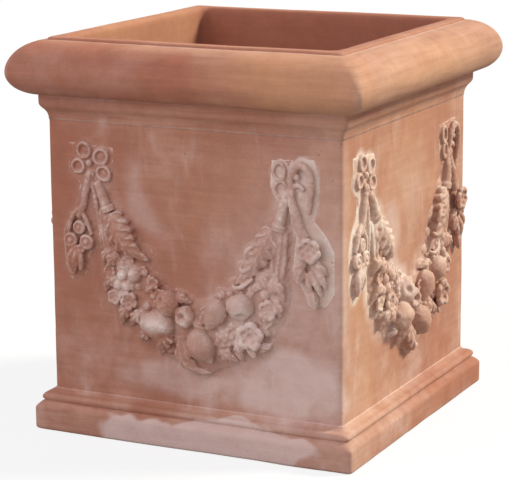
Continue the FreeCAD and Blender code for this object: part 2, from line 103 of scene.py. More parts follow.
FESTOON = (
    Fruit("apple", (-32, 190), 29, 34, 150, 52, 11),
    Fruit("quince", (-46, 160), 50, 37, 172, 12, 11),
    Fruit("medlar", (-6, 175), 24, 29, 200, 74, 11),
    Fruit("lemon", (17, 140), 44, 37, -52, 6, 12),
    Fruit("pear", (37, 182), 42, 30, 242, 8, 11),
    Fruit("apple", (74, 196), 32, 38, -70, 38, 12),
    berry((-79, 221), 18, 9),
    berry((-97, 220), 14, 9),
    berry((-104, 206), 14, 8),
    berry((-91, 206), 15, 9),
    Fruit("bud", (87, 141), 20, 13, -60, 20, 8),
    Fruit("bud", (70, 136), 18, 12, -80, 15, 7),
    Fruit("bud", (118, 226), 20, 13, 100, 12, 8),
    berry((106, 214), 14, 8),
    berry((100, 226), 12, 8),
    berry((57, 209), 12, 6),
    berry((-62, 182), 13, 8),
    Flower((89, 161), 20, 5, 34, 9),
    Flower((-86, 188), 13, 5, 26, 9),
    Flower((-72, 168), 11, 5, 22, 8),
    Flower((-110, 190), 11, 5, 20, 6),
    Flower((112, 196), 14, 5, 26, 8),
    Flower((-52, 214), 9, 5, 30, 7),
    # The long leaf beside the stems, on the left and on the right
    Leaf(((-113, 300, 6), (-101, 277, 10), (-86, 257, 12), (-60, 241, 6)), 38, 6),
    Leaf(((116, 300, 6), (106, 276, 10), (92, 252, 12), (64, 222, 6)), 34, 6),
    # Round the fruit
    Leaf(((-33, 154, 12), (-38, 140, 14), (-46, 120, 6)), 30, 4),
    Leaf(((-17, 148, 8), (-10, 122, 11), (3, 108, 11), (29, 103, 5)), 20, 5),
    Leaf(((-10, 142, 8), (-2, 122, 13), (10, 111, 8)), 13, 3),
    Leaf(((-70, 174, 10), (-79, 165, 13), (-89, 153, 6)), 17, 3),
    Leaf(((-86, 182, 9), (-95, 169, 12), (-103, 152, 5)), 16, 3),
    Leaf(((-100, 246, 10), (-112, 238, 14), (-118, 221, 6)), 16, 3),
    Leaf(((-106, 216, 8), (-117, 209, 11), (-126, 195, 4)), 16, 3),
    Leaf(((98, 190, 9), (110, 187, 12), (124, 180, 5)), 17, 3),
    Leaf(((96, 152, 8), (105, 147, 11), (114, 152, 5)), 15, 3),
    Leaf(((42, 138, 9), (54, 131, 12), (67, 123, 5)), 18, 3),
    Leaf(((66, 152, 9), (71, 141, 12), (73, 123, 5)), 15, 3),
    Leaf(((4, 172, 9), (15, 164, 13), (26, 157, 8)), 14, 3),
    Leaf(((-20, 200, 6), (-10, 198, 10), (2, 192, 5)), 14, 3),
    Leaf(((52, 203, 6), (46, 208, 10), (33, 206, 5)), 13, 3),
    Leaf(((116, 234, 8), (127, 224, 12), (130, 206, 5)), 16, 3),
    Leaf(((-62, 198, 7), (-56, 207, 11), (-42, 212, 6)), 12, 3),
    Leaf(((118, 208, 8), (125, 197, 10), (123, 184, 4)), 14, 3),
    Leaf(((-60, 152, 8), (-67, 143, 11), (-77, 138, 4)), 15, 3),
    Leaf(((-112, 252, 8), (-122, 243, 11), (-126, 228, 5)), 14, 3),
    Leaf(((96, 238, 8), (106, 230, 11), (112, 216, 5)), 15, 3),
    # Stems under the bands
    Strand(((-130, 300, 2), (-127, 275, 4), (-121, 238, 4)), (3.6, 4.0, 3.0), 1.0),
    Strand(((-124, 301, 4), (-120, 272, 6), (-113, 236, 5)), (3.6, 4.2, 3.0), 1.0),
    Strand(((-118, 302, 4), (-112, 275, 7), (-105, 240, 5)), (3.6, 4.2, 3.0), 1.0),
    Strand(((133, 298, 2), (132, 270, 4), (128, 236, 4)), (3.6, 4.0, 3.0), 1.0),
    Strand(((127, 298, 4), (126, 270, 6), (121, 234, 5)), (3.6, 4.2, 3.0), 1.0),
    Strand(((121, 298, 4), (119, 270, 7), (113, 236, 5)), (3.6, 4.2, 3.0), 1.0),
    # Curled tips of the right-hand leaf
    Strand(
        ((104, 281, 8), (93, 276, 12), (84, 270, 13), (82, 262, 12), (88, 259, 9)), (2, 3, 3, 2.6, 2), 1.0
    ),
    Strand(((99, 256, 9), (88, 248, 14), (77, 243, 12), (72, 247, 8)), (2, 3, 2.8, 2), 1.0),
    Strand(((90, 234, 9), (78, 224, 13), (66, 220, 11), (60, 225, 7)), (2, 3, 2.8, 2), 1.0),
    # Wrapped bands and their cuffs
    Strand(((-135, 338, 3), (-127, 324, 5), (-119, 305, 5)), (5.5, 7, 8), 0.9),
    Strand(((-120, 308, 5), (-117, 301, 5)), (9.6, 9.6), 0.85),
    Strand(((134, 338, 3), (129, 322, 5), (125, 302, 5)), (5.5, 7, 8), 0.9),
    Strand(((126, 305, 5), (124, 297, 5)), (9.6, 9.6), 0.85),
)
SWAG_OUTER = (
    (-128, 238), (-124, 200), (-92, 154), (-43, 124), (8, 106), (60, 126), (103, 155), (124, 192),
    (129, 236),
)  # fmt: skip
SWAG_INNER = (
    (-84, 240), (-60, 228), (-44, 209), (-14, 193), (22, 195), (56, 209), (68, 226), (84, 240), (98, 242),
)  # fmt: skip
SWAG_FILLERS = 90
SWAG_RISE = 8.0
SWAG_PADS = 26
# Shares of the fillers up to which they are berries, buds and leaves; the rest are flowers
SWAG_BERRIES, SWAG_BUDS, SWAG_LEAVES = 0.42, 0.6, 0.86
# How near a filler may come to the middle of a fruit, as a share of its width
SWAG_CLEAR = 0.36
# Ranges that fillers are drawn from: the place across the bed and the height, as shares, then sizes in
# millimetres
SWAG_ACROSS = (0.08, 0.94)
SWAG_HEIGHTS = (0.5, 1.0)
SWAG_BERRY_WIDTHS = (8, 13)
SWAG_BUD_WIDTHS = (10, 13)
SWAG_LEAF_REACHES = (8, 12)
SWAG_LEAF_WIDTHS = (11, 15)
SWAG_FLOWER_RADII = (7, 10)
# Fillers: how long a bud is for its width and how far it lifts, how a leaf arches, how a flower is cupped
SWAG_BUD_LENGTH, SWAG_BUD_LIFT = 1.5, 15
SWAG_LEAF_ARCH = (0, 3, -1)
SWAG_LEAF_LOBES = 3
SWAG_CUP = 24
GRAPES = {"place": (50, 151), "reach": (13, 15), "size": 4.6, "count": 16, "height": 6}
GRAPE_CROWN = 7
GRAPE_SIZES = (0.9, 1.1)

LEFT_BOW = (
    Loop((-154, 378), 8.6, 2.4, 1.08, 110, 2.2),
    Loop((-129, 371), 9.2, 2.5, 1.08, 40, 2.6),
    Loop((-163, 357), 8.2, 2.4, 1.0, 200, 2.2),
    Loop((-125, 350), 8.6, 2.5, 1.12, 320, 2.6),
    Loop((-162, 277), 6.4, 2.7, 1.0, 0, 5.0),
    Loop((-175, 259), 7.4, 2.9, 1.05, 30, 5.5),
    Loop((-151, 258), 7.4, 2.9, 1.05, 150, 5.5),
    berry((-146, 362), 9, 4),
    Fruit("bud", (-146, 344), 17, 12, -95, 5, 3),
    berry((-162, 277), 7, 6),
    berry((-175, 259), 8, 7),
    berry((-151, 258), 8, 7),
    Strand(((-148, 340, 3), (-152, 322, 4), (-156, 305, 4), (-164, 290, 4)), (5.5, 5, 5, 4), 0.9),
    Strand(((-143, 340, 2), (-138, 315, 2), (-134, 285, 2), (-131, 258, 1)), (3.4, 3.4, 3.2, 2.4), 1.0),
    Strand(((-158, 304, 3), (-172, 290, 5), (-179, 270, 4)), (3, 3.6, 2.5), 1.0),
    Strand(((-160, 300, 3), (-151, 286, 5), (-144, 268, 4)), (3, 3.4, 2.5), 1.0),
    Strand(((-170, 250, 5), (-177, 234, 7), (-173, 214, 5)), (3, 4.6, 2.6), 1.0),
    Strand(((-163, 248, 5), (-159, 234, 7), (-162, 220, 5)), (3, 4.4, 2.6), 1.0),
    Flower((-163, 246), 8, 5, 18, 5),
    Leaf(((-167, 246, 7), (-169, 232, 9), (-172, 212, 5)), 13, 2),
)
LEFT_GROUND = (
    (-178, 388), (-112, 384), (-110, 345), (-128, 332), (-133, 300), (-137, 252), (-150, 242),
    (-156, 212), (-178, 205), (-187, 225), (-190, 268), (-172, 306), (-162, 332), (-178, 348),
)  # fmt: skip

RIGHT_BOW = (
    Loop((124, 371), 7.8, 2.4, 1.35, 92, 2.4),
    Loop((126, 350), 7.4, 2.4, 1.3, 86, 2.4),
    berry((149, 366), 9, 5),
    Fruit("bud", (141, 343), 17, 12, -80, 5, 3),
    Fruit("bud", (154, 244), 20, 14, -110, 15, 7),
    Fruit("bud", (171, 215), 24, 13, -75, 8, 6),
    Strand(((141, 340, 4), (146, 322, 6), (152, 304, 6), (160, 290, 5)), (5, 6.5, 7, 6), 0.75),
    Strand(
        ((140, 350, 3), (142, 368, 5), (153, 381, 6), (165, 373, 6), (168, 350, 5), (164, 322, 3)),
        (3, 4.4, 5, 5, 4.6, 3),
        0.9,
    ),
    Strand(((142, 352, 3), (150, 356, 4), (158, 350, 3)), (3, 3.6, 2.4), 0.8),
    Strand(((135, 346, 4), (131, 336, 4), (133, 322, 3)), (4.5, 4.5, 3), 0.8),
    Strand(((160, 262, 5), (157, 252, 6), (154, 240, 4)), (3.4, 3.4, 2.6), 1.0),
    Strand(((172, 256, 6), (182, 246, 8), (188, 230, 5)), (3.6, 4.8, 2.6), 1.0),
    Strand(((168, 250, 6), (176, 236, 8), (182, 220, 5)), (3.4, 4.8, 2.6), 1.0),
    Strand(((164, 248, 5), (166, 232, 7), (170, 216, 5)), (3.4, 4.4, 2.6), 1.0),
    Flower((168, 277), 17, 6, 24, 8),
    Leaf(((170, 262, 7), (181, 256, 9), (190, 246, 4)), 13, 2),
    Leaf(((160, 262, 7), (152, 254, 8), (146, 246, 4)), 12, 2),
)
RIGHT_GROUND = (
    (112, 386), (171, 389), (175, 362), (171, 312), (187, 294), (198, 274), (198, 220),
    (186, 205), (164, 203), (148, 236), (142, 262), (146, 290), (136, 322), (116, 338), (110, 352),
)  # fmt: skip

# Shapes of fruit on a ball of radius 1: dent and tip at the eye, how wide these are, taper, lobes
FRUIT_SHAPES = {
    "apple": {"dent": 0.5, "tip": 0, "eye": 0.3, "taper": 0.12, "lobes": 0.03},
    "quince": {"dent": 0.3, "tip": 0, "eye": 0.2, "taper": 0.16, "lobes": 0.06},
    "medlar": {"dent": 0.9, "tip": 0, "eye": 0.36, "taper": 0.0, "lobes": 0.05},
    "lemon": {"dent": 0, "tip": 0.25, "eye": 0.24, "taper": 0.05, "lobes": 0.02},
    "pear": {"dent": 0, "tip": 0.1, "eye": 0.3, "taper": 0.3, "lobes": 0.03},
    "bud": {"dent": 0, "tip": 0.12, "eye": 0.35, "taper": 0.25, "lobes": 0.08},
    "berry": {"dent": 0, "tip": 0, "eye": 0.3, "taper": 0, "lobes": 0},
}
LOBE_COUNT = 5
BALL_STEPS = {"u_segments": 28, "v_segments": 18}
PAD_STEPS = {"u_segments": 24, "v_segments": 12}
TUBE_STEPS = 14
LOOP_STEPS = 32
LOOP_RISE = 1.25
# Petals: how far out, how long and how wide they are, and how wide the eye is, as shares of the radius
PETAL_OUT, PETAL_LENGTH, PETAL_WIDTH, EYE_WIDTH = 0.56, 0.62, 0.92, 0.5
# Leaves: tiles along a lobe and across the blade, how the outline begins, swells and is notched, how
# high the blade is crowned, and its ribs and midrib
LEAF_STEPS = 9
LEAF_STEPS_ACROSS = 18
LEAF_ROOT = 0.12
LEAF_FULL = 0.8
LEAF_LEAST = 0.03
LEAF_CROWN = 0.17
LEAF_NOTCH = 0.36
LEAF_POINT = 0.6
RIB_SLANT = 0.9
RIB_SHARE = 0.12
MIDRIB_RISE = 1.2
MIDRIB_WIDTH = 0.14
# The clay behind the forms, in millimetres, and how many swellings follow a stretch of leaf or strand
PAD_DEPTH = 4.0
PAD_STRETCH_STEPS = 2
LEAF_PAD_PART = 3
FESTOON_SEED, BOW_SEED = 3, 5
SOFTENING = 0.5
PRESS_LUMPS = 0.7
RELIEF_FLATTEN = 0.86
SPRIG_BACK = -2.2
FORM_FOOT = SPRIG_BACK - 2
GROUND_MARGIN = 7.0
# Unevenness of the slabs, of their chipped edges and of the sprigs: broad and fine waves, a metre on the
# slabs and a millimetre on the sprigs, and the weight of the fine ones
WOBBLE = (7, 18, 0.4)
CHIPS = (24, 55, 0.5)
LUMPS = (0.08, 0.22, 0.6)
# Hollows and edges of slabs and sprigs: rounds of smoothing, and the depth that counts as 1
SLAB_EDGES = (6, 2.0 * MM)
SLAB_HOLLOWS = (3, 1.6 * MM)
SLAB_RIDGES = (3, 3.0 * MM)
SPRIG_HOLLOWS = (36, 3.0)
SPRIG_RIDGES = (6, 0.45)
GOLDEN_ANGLE = math.pi * (3 - math.sqrt(5))

# Patches of the fired colour, one of them painted shadow and one painted light, in millimetres: place,
# reach along x, y and z, strength, the share of the reach at which the patch begins to fade, and its turn
# in degrees
Bloom = namedtuple("Bloom", "place reach strength edge turn", defaults=(0,))
LIME_PATCHES = (
    Bloom((130, -215, 92), (118, 40, 62), 0.85, 0.5),
    Bloom((-20, -215, 88), (96, 40, 32), 0.5, 0.5),
    Bloom((175, -215, 230), (190, 50, 240), 0.52, 0.2),
    Bloom((-64, -215, 310), (80, 40, 30), 0.5, 0.2, 59),
    Bloom((25, -230, 14), (165, 24, 27), 1.3, 0.88),
    Bloom((-45, -230, 168), (40, 34, 26), 0.45, 0.1),
    Bloom((-92, -230, 205), (34, 34, 40), 0.3, 0.1),
    Bloom((80, -230, 172), (54, 34, 46), 0.4, 0.1),
    Bloom((-150, -222, 330), (30, 34, 60), 0.3, 0.1),
    Bloom((215, 20, 320), (40, 90, 80), 0.3, 0.2),
    Bloom((215, -62, 262), (40, 40, 62), 0.8, 0.1),
    Bloom((215, -30, 205), (40, 44, 36), 0.8, 0.1),
)
# Darker patches of the clay; the one at the far end of the right plinth is painted shadow
DEEP_AND_SHADOW_PATCHES = (
    Bloom((-190, -250, 480), (250, 80, 80), 1.0, 0.45),
    Bloom((60, -250, 475), (200, 80, 46), 0.7, 0.35),
    Bloom((-190, -215, 370), (140, 40, 110), 0.75, 0.2),
    Bloom((-170, -215, 220), (100, 50, 200), 0.4, 0.2),
    # Painted shadow on the far end of the right plinth
    Bloom((225, 190, 20), (60, 150, 60), 0.8, 0.2),
    Bloom((235, 20, 18), (26, 250, 44), 0.6, 0.6),
    Bloom((215, 40, 80), (40, 210, 70), 0.7, 0.3),
)
CHALK_PATCHES = (
    Bloom((-48, -228, 164), (34, 34, 22), 1.0, 0.2),
    Bloom((-92, -228, 208), (26, 34, 32), 0.8, 0.1),
    Bloom((-6, -228, 176), (20, 34, 18), 0.6, 0.1),
    Bloom((82, -228, 166), (34, 34, 28), 0.5, 0.1),
    Bloom((-128, -222, 300), (16, 30, 60), 0.5, 0.1),
    Bloom((128, -222, 340), (24, 30, 44), 0.6, 0.1),
    Bloom((222, -128, 290), (30, 26, 70), 0.9, 0.2),
)
# Golden flushes of the clay; the one on the front wall by the right corner is painted light
GOLD_AND_LIGHT_PATCHES = (
    Bloom((215, -150, 220), (50, 80, 240), 0.5, 0.2),
    Bloom((215, 10, 340), (40, 170, 110), 0.5, 0.2),
    Bloom((220, -90, 80), (40, 150, 70), 0.35, 0.3),
    Bloom((245, -20, 485), (60, 240, 60), 0.5, 0.2),
    Bloom((-190, 0, 500), (30, 240, 90), 0.45, 0.4),
    Bloom((150, -245, 490), (150, 60, 60), 0.9, 0.3),
    Bloom((40, -215, 330), (110, 40, 90), 0.25, 0.2),
    # Painted light on the front wall by the right corner
    Bloom((200, -215, 310), (50, 40, 150), 0.45, 0.2),
)

# White slip that was brushed round the sprigs: how strong it is at the left and right end of the wall,
# and how far it reaches in millimetres
Slip = namedtuple("Slip", "left right reach")
SLIP = {
    ("garland", "front"): Slip(0.05, 0.3, 14),
    ("garland", "right"): Slip(1.7, 0.0, 22),
    ("garland", "back"): Slip(0.5, 0.3, 20),
    ("garland", "left"): Slip(0.2, 0.4, 20),
    ("bow_left", "front"): Slip(0.15, 0.15, 12),
    ("bow_left", "right"): Slip(1.6, 1.4, 11),
    ("bow_left", "back"): Slip(0.6, 0.6, 14),
    ("bow_left", "left"): Slip(0.4, 0.4, 14),
    ("bow_right", "front"): Slip(1.5, 1.5, 6),
    ("bow_right", "right"): Slip(0.3, 0.1, 16),
    ("bow_right", "back"): Slip(0.4, 0.4, 14),
    ("bow_right", "left"): Slip(0.6, 0.6, 14),
}
# A thin film of it that stayed on the sprigs of each side, at the left and at the right end of the wall
SLIP_FILM = {"front": (0.08, 0.14), "right": (0.5, 0.2), "back": (0.2, 0.15), "left": (0.15, 0.2)}
# Heights between which the slip on the wall grows from nothing to its full strength
SLIP_HEIGHTS = (120, 230)
# The share of the wall, from its middle, at which the slip has its strength of that end
SLIP_ENDS = (-0.85, 0.4)
# How much more lies on what faces up on the sprigs: slip, and painted highlight as of light from above
SLIP_AND_HIGHLIGHT_ON_TOP = 0.34
# How thick the slip is at the sprig, where 1 hides the clay, and how deep the wall's outer face lies
SLIP_FULL = 1.3
OUTER_SKIN = 4
# On the sprigs: relief under which the slip stayed, over which height it thins out, and the same at the
# edge of the pressed ground
SLIP_LOW, SLIP_LOW_FADE = 4.0, 2.6
SLIP_EDGE = 0.5

# Half widths between which the colour of the inside gives way to that of the outside, and heights
# between which the lime that damp left runs out
OUTSIDE = (WALL_INSIDE + 4 * MM, WALL_FACE - 6 * MM)
DAMP_HEIGHTS = (0.05, 0.2)
# Tooling lines and lime from damp on each kind of piece, as strengths
TOOLING = {
    "walls": (0.6, 0.2),
    "floor": (0.3, 0.5),
    "plinth": (1.0, 0.2),
    "neck": (1.0, 0.0),
    "rim": (1.6, 0.0),
    "sprig": (0.2, 0.0),
}


def length(name, description, millimetres):
    return FloatProperty(
        name=name, description=description, default=millimetres * MM, subtype="DISTANCE", unit="LENGTH"
    )


def number(name, description, value, unit="NONE"):
    return FloatProperty(name=name, description=description, default=value, unit=unit)


def whole(name, description, value):
    return IntProperty(name=name, description=description, default=value)


def tint(name, description, value):
    return FloatVectorProperty(name=name, description=description, subtype="COLOR", default=value)


def position(name, description, value):
    return FloatVectorProperty(
        name=name, description=description, subtype="TRANSLATION", unit="LENGTH", default=value
    )


class PlanterClay(bpy.types.PropertyGroup):
    """How the clay was handled."""

    wobble: length("Wobble", "How far the hand-beaten slabs and mouldings stray from true", 0.8)
    chipping: length("Chipping", "How deep the sharp edges are worn", 0.5)
    corner_round: length("Corner rounding", "Rounding of the upright corners and the mitres", 5)
    arris_round: length("Edge rounding", "Rounding of the long edges of the mouldings", 3)
    tile: length("Tile", "Length of the small faces that the slabs and mouldings are divided into", 5)
    press_size: number("Mould detail", "Smallest detail of the pressed sprigs, in millimetres", 1.0)
    press_rounds: whole("Softening", "How often a pressed sprig is smoothed", 4)


class PlanterColours(bpy.types.PropertyGroup):
    """The colours of the fired clay."""

    clay_deep: tint("Deep clay", "Red-brown body", (0.385, 0.148, 0.089))
    clay: tint("Clay", "Common body", (0.455, 0.221, 0.145))
    clay_gold: tint("Golden clay", "Ochre flush of the firing", (0.56, 0.28, 0.148))
    clay_pale: tint("Pale clay", "Tan, where the slip dried", (0.545, 0.305, 0.207))
    lime: tint("Lime", "Grey-white bloom", (0.69, 0.51, 0.445))
    slip: tint("Slip", "White slip round the sprigs", (0.82, 0.7, 0.61))
    # Dark earth colour, in the pits and, as grime and painted shade, in the hollows
    soil_and_shade: tint("Soil", "Dirt in the hollows", (0.21, 0.09, 0.058))


class PlanterStage(bpy.types.PropertyGroup):
    """Camera, lamps and floor."""

    camera_place: position("Camera", "Where the camera stands", (1.2104, -2.4765, 0.8428))
    camera_turn: FloatVectorProperty(
        name="Camera turn",
        description="Pitch, roll and turn of the camera",
        subtype="EULER",
        unit="ROTATION",
        default=(math.radians(90 - 12.507), math.radians(-0.445), math.radians(26.336)),
    )
    lens: number("Lens", "Focal length in millimetres", 147.62, "CAMERA")
    sun_strength: number("Key", "Strength of the warm key lamp", 3.7)
    fill_strength: number("Fill", "Power of the soft fill lamp", 55.5, "POWER")
    sky_strength: number("Sky", "Strength of the even light", 0.53)


class PlanterSettings(bpy.types.PropertyGroup):
    """Everything that can be set."""

    clay: PointerProperty(type=PlanterClay)
    colours: PointerProperty(type=PlanterColours)
    stage: PointerProperty(type=PlanterStage)


class Shade:
    """A value in a material: arithmetic on it adds Math nodes."""

    def __init__(self, finish, socket):
        self.finish = finish
        self.socket = socket

    def math(self, operation, first, second):
        return self.finish.add("ShaderNodeMath", {"operation": operation}, {0: first, 1: second})

    def __add__(self, other):
        return self.math("ADD", self, other)

    def __sub__(self, other):
        return self.math("SUBTRACT", self, other)

    def __rsub__(self, other):
        return self.math("SUBTRACT", other, self)

    def __mul__(self, other):
        return self.math("MULTIPLY", self, other)

    __radd__ = __add__
    __rmul__ = __mul__

    def between(self, low, high):
        """0 below low and 1 above high, with a soft step."""
        return self.finish.add(
            "ShaderNodeMapRange",
            {"interpolation_type": "SMOOTHSTEP"},
            {"Value": self, "From Min": low, "From Max": high},
        )

    def capped(self):
        return self.math("MINIMUM", self.math("MAXIMUM", self, 0.0), 1.0)


class Finish:
    """The nodes of a material or of the even light, under construction."""

    def __init__(self, owner):
        owner.use_nodes = True
        self.tree = owner.node_tree

    def add(self, kind, settings=None, sockets=None, output=0):
        """A node: its settings first, then the values or links of its sockets."""
        node = self.tree.nodes.new(kind)
        for key, value in (settings or {}).items():
            setattr(node, key, value)
        for key, value in (sockets or {}).items():
            self.feed(node.inputs[key], value)
        return Shade(self, node.outputs[output])

    def feed(self, socket, value):
        if isinstance(value, Shade):
            self.tree.links.new(value.socket, socket)
        else:
            socket.default_value = value

    def mix(self, factor, first, second, blend="MIX"):
        settings = {"data_type": "RGBA", "blend_type": blend}
        return self.add("ShaderNodeMix", settings, {0: factor, 6: first, 7: second}, output=2)


class ClayFinish(Finish):
    """The finish of fired clay, which differs from place to place."""

    ragged_scale = 13.0
    ragged_reach = 35 * MM
    patch_end = 1.05

    def __init__(self, name, tooling):
        self.material = bpy.data.materials.new(name)
        super().__init__(self.material)
        self.tooling = tooling
        self.places = self.add("ShaderNodeTexCoord", output="Object")
        self.ragged_places = self.strayed()
        self.hollow, self.ridge, self.slip = [self.mark(mark) for mark in ("hollow", "ridge", "slip")]
        self.clouds = self.noise(4.2, detail=4.0, distortion=0.3)
        self.drift = self.noise(11.0, detail=5.0, roughness=0.6)
        self.mottle = self.noise(46.0, detail=6.0, roughness=0.65)
        self.streaks = self.noise(1.0, detail=6.0, places=self.stretched((9, 9, 150)), distortion=0.5)
        self.grain = self.noise(620.0, detail=2.0)
        across, along_y, self.up = [self.axis(letter) for letter in "XYZ"]
        across, along_y = [place.math("ABSOLUTE", place, 0.0) for place in (across, along_y)]
        self.outside = across.math("MAXIMUM", across, along_y).between(*OUTSIDE)
        # Pale on the ridges: wear, and painted highlight along the edges
        self.worn = self.ridge.between(0.2, 0.9) * (0.2 + self.mottle * 0.9)
        self.pitted = self.specks(75.0, 0.04, 0.13) * self.drift.between(0.54, 0.64)

    def axis(self, letter):
        return self.add("ShaderNodeSeparateXYZ", {}, {"Vector": self.places}, output=letter)

    def strayed(self):
        """Object coordinates that stray a little, for ragged edges."""
        cloudy = {"Vector": self.places, "Scale": self.ragged_scale}
        stray = {
            0: self.add("ShaderNodeTexNoise", {}, cloudy, output="Color"),
            1: Vector.Fill(3, 2 * self.ragged_reach),
            2: Vector.Fill(3, -self.ragged_reach),
        }
        ragged = self.add("ShaderNodeVectorMath", {"operation": "MULTIPLY_ADD"}, stray)
        return self.add("ShaderNodeVectorMath", {"operation": "ADD"}, {0: self.places, 1: ragged})

    def stretched(self, scale):
        """Object coordinates, scaled along each axis."""
        return self.add("ShaderNodeMapping", {}, {"Vector": self.places, "Scale": scale})

    def noise(self, scale, detail, roughness=0.55, places=None, distortion=0.0):
        sockets = {
            "Vector": places or self.places,
            "Scale": scale,
            "Detail": detail,
            "Roughness": roughness,
            "Distortion": distortion,
        }
        return self.add("ShaderNodeTexNoise", {}, sockets)

    def specks(self, scale, low, high):
        """Scattered dots, 1 up to the low share of their cell and 0 from the high one."""
        sockets = {"Vector": self.places, "Scale": scale}
        return 1 - self.add("ShaderNodeTexVoronoi", {}, sockets, output="Distance").between(low, high)

    def mark(self, name):
        return self.add("ShaderNodeAttribute", {"attribute_name": name}, output="Fac")

    def patch(self, bloom):
        """A soft-edged patch: its strength in the middle and 0 outside its reach."""
        sockets = {
            "Vector": self.ragged_places,
            "Location": Vector(bloom.place) * MM,
            "Rotation": (0, math.radians(bloom.turn), 0),
            "Scale": Vector(bloom.reach) * MM,
        }
        local = self.add("ShaderNodeMapping", {"vector_type": "TEXTURE"}, sockets)
        away = self.add("ShaderNodeVectorMath", {"operation": "LENGTH"}, {0: local}, output="Value")
        return (1 - away.between(bloom.edge, self.patch_end)) * bloom.strength

    def patches(self, blooms):
        return sum(self.patch(bloom) for bloom in blooms)

    def coat(self, factor, under, colour):
        return self.mix(factor, under, (*colour, 1))

    def body(self, colours):
        """The fired clay, from red-brown to tan, with its golden flushes; darker inside, with painted
        shade in the hollows, a patch of painted shadow and a patch of painted light.
        """
        pale = self.clouds * 0.6 + self.drift * 0.35 + self.streaks * 0.2 * self.tooling
        colour = self.coat(pale.between(0.4, 0.85) * 0.9, (*colours.clay, 1), colours.clay_pale)
        deep = (self.drift * 0.6 + self.streaks * 0.45 * self.tooling).between(0.36, 0.62)
        colour = self.coat((1 - deep) * 0.55, colour, colours.clay_deep)
        # Darker red-brown inside, painted shade in the hollows, and the deep patches, one of them painted
        # shadow
        painted_shade_and_deep = (1 - self.outside) * 0.8 + self.hollow.between(0.08, 0.7) * 0.5 + self.patches(DEEP_AND_SHADOW_PATCHES)
        colour = self.coat(painted_shade_and_deep.capped(), colour, colours.clay_deep)
        # Golden flushes, and a patch of painted light
        flush_and_painted_light = self.patches(GOLD_AND_LIGHT_PATCHES) * (0.4 + self.drift)
        return self.coat(flush_and_painted_light.capped(), colour, colours.clay_gold)

    def lime(self, lime_low):
        """Lime where damp rose, in washes down the walls, in patches, and on worn edges, where it is also
        painted highlight.
        """
        washes = self.noise(1.0, detail=5.0, places=self.stretched((34, 34, 9)), distortion=0.5)
        plain = 1 - self.up.between(NECK_BOTTOM, NECK_TOP)
        damp = (1 - self.up.between(*DAMP_HEIGHTS)) * self.drift.between(0.35, 0.7) * lime_low
        lime = (self.clouds + self.drift * 0.6).between(0.78, 1.15) * 0.35 + damp
        lime = lime + washes.between(0.52, 0.78) * plain * 0.32 + self.patches(LIME_PATCHES)
        lime = lime * (0.3 + self.drift * 0.7 + self.mottle * 0.5)
        return (lime * self.outside + self.worn * 0.6).capped()

    def chalk(self):
        """Chalky remains of the slip on the sprigs, with painted highlight from the worn edges."""
        chalk = self.worn * 0.2 + self.patches(CHALK_PATCHES) * (0.75 + self.worn * 0.5)
        return (chalk * self.mottle.between(0.36, 0.6)).capped()

    def brushed(self):
        """White slip that was brushed round the sprigs, with crumbs of it; on the sprigs it also holds the
        painted highlight on what faces up.
        """
        crumbs = self.specks(150.0, 0.08, 0.2) * self.slip.between(0.45, 0.7)
        crumbs = crumbs * self.drift.between(0.5, 0.62)
        cover = 0.1 + self.drift.between(0.38, 0.64) * 0.55 + self.mottle * 0.75
        return (self.slip * cover + crumbs * 0.5).capped()

    # Dark earth colour in the hollows, as grime and as painted shade
    def dirt_and_shade(self):
        return (self.hollow.between(0.35, 1.0) * (0.2 + self.mottle * 0.6)).capped()

    def speckled(self, colour):
        """A colour under fine speckle and tooling lines."""
        lines = self.streaks * 0.2 * self.tooling
        speckle = self.grain * 0.24 + self.mottle * 0.3 + lines + 0.23 - 0.1 * self.tooling
        grey = self.add("ShaderNodeCombineColor", {}, {0: speckle, 1: speckle, 2: speckle})
        return self.mix(0.6, colour, grey, "OVERLAY")

    def relief(self):
        lines = self.streaks * 0.4 * self.tooling
        return self.grain * 0.2 + lines + self.mottle * 0.45 - self.pitted * 1.3


def terracotta(name, colours, tooling, lime_low):
    """Unglazed clay: clouded colour, lime bloom, dark earth colour in hollows as grime and painted shade,
    pale worn edges that are partly painted highlight, tooling and pits.
    """
    clay = ClayFinish(name, tooling)
    lime = clay.lime(lime_low)
    colour = clay.coat(lime * 0.92, clay.body(colours), colours.lime)
    colour = clay.coat(clay.chalk() * 0.9, colour, colours.slip)
    colour = clay.coat(clay.brushed() * 0.92, colour, colours.slip)
    # Dark earth colour in the hollows: grime and painted shade
    colour = clay.coat(clay.dirt_and_shade() * 0.22, colour, colours.soil_and_shade)
    colour = clay.coat(clay.pitted * 0.5, colour, colours.soil_and_shade)
    shader = clay.tree.nodes["Principled BSDF"].inputs
    clay.feed(shader["Base Color"], clay.speckled(colour))
    clay.feed(shader["Roughness"], 0.78 + clay.grain * 0.1 + lime * 0.07)
    clay.feed(shader["Specular IOR Level"], 0.22)
    bump = {"Strength": 0.4, "Distance": 0.6 * MM, "Height": clay.relief()}
    clay.feed(shader["Normal"], clay.add("ShaderNodeBump", {}, bump))
    return clay.material


def clay_material(context, piece):
    name = f"clay_{piece}"
    known = bpy.data.materials.get(name)
    return known or terracotta(name, context.scene.planter.colours, *TOOLING[piece])


def run(start, end, step):
    """Points from start up to, and without, end."""
    start, end = Vector(start), Vector(end)
    count = max(1, round((end - start).length / step))
    return [start.lerp(end, index / count) for index in range(count)]


def arc(start, end, turn, steps=ARC_STEPS):
    """Points of a round stretch from start up to, and without, end, turning left by some degrees."""
    start, end = Vector(start), Vector(end)
    half = math.radians(turn) / 2
    chord = end - start
    middle = (start + end) / 2 + chord.orthogonal() / (2 * math.tan(half))
    spoke = start - middle
    return [middle + Matrix.Rotation(2 * half * index / steps, 2) @ spoke for index in range(steps)]


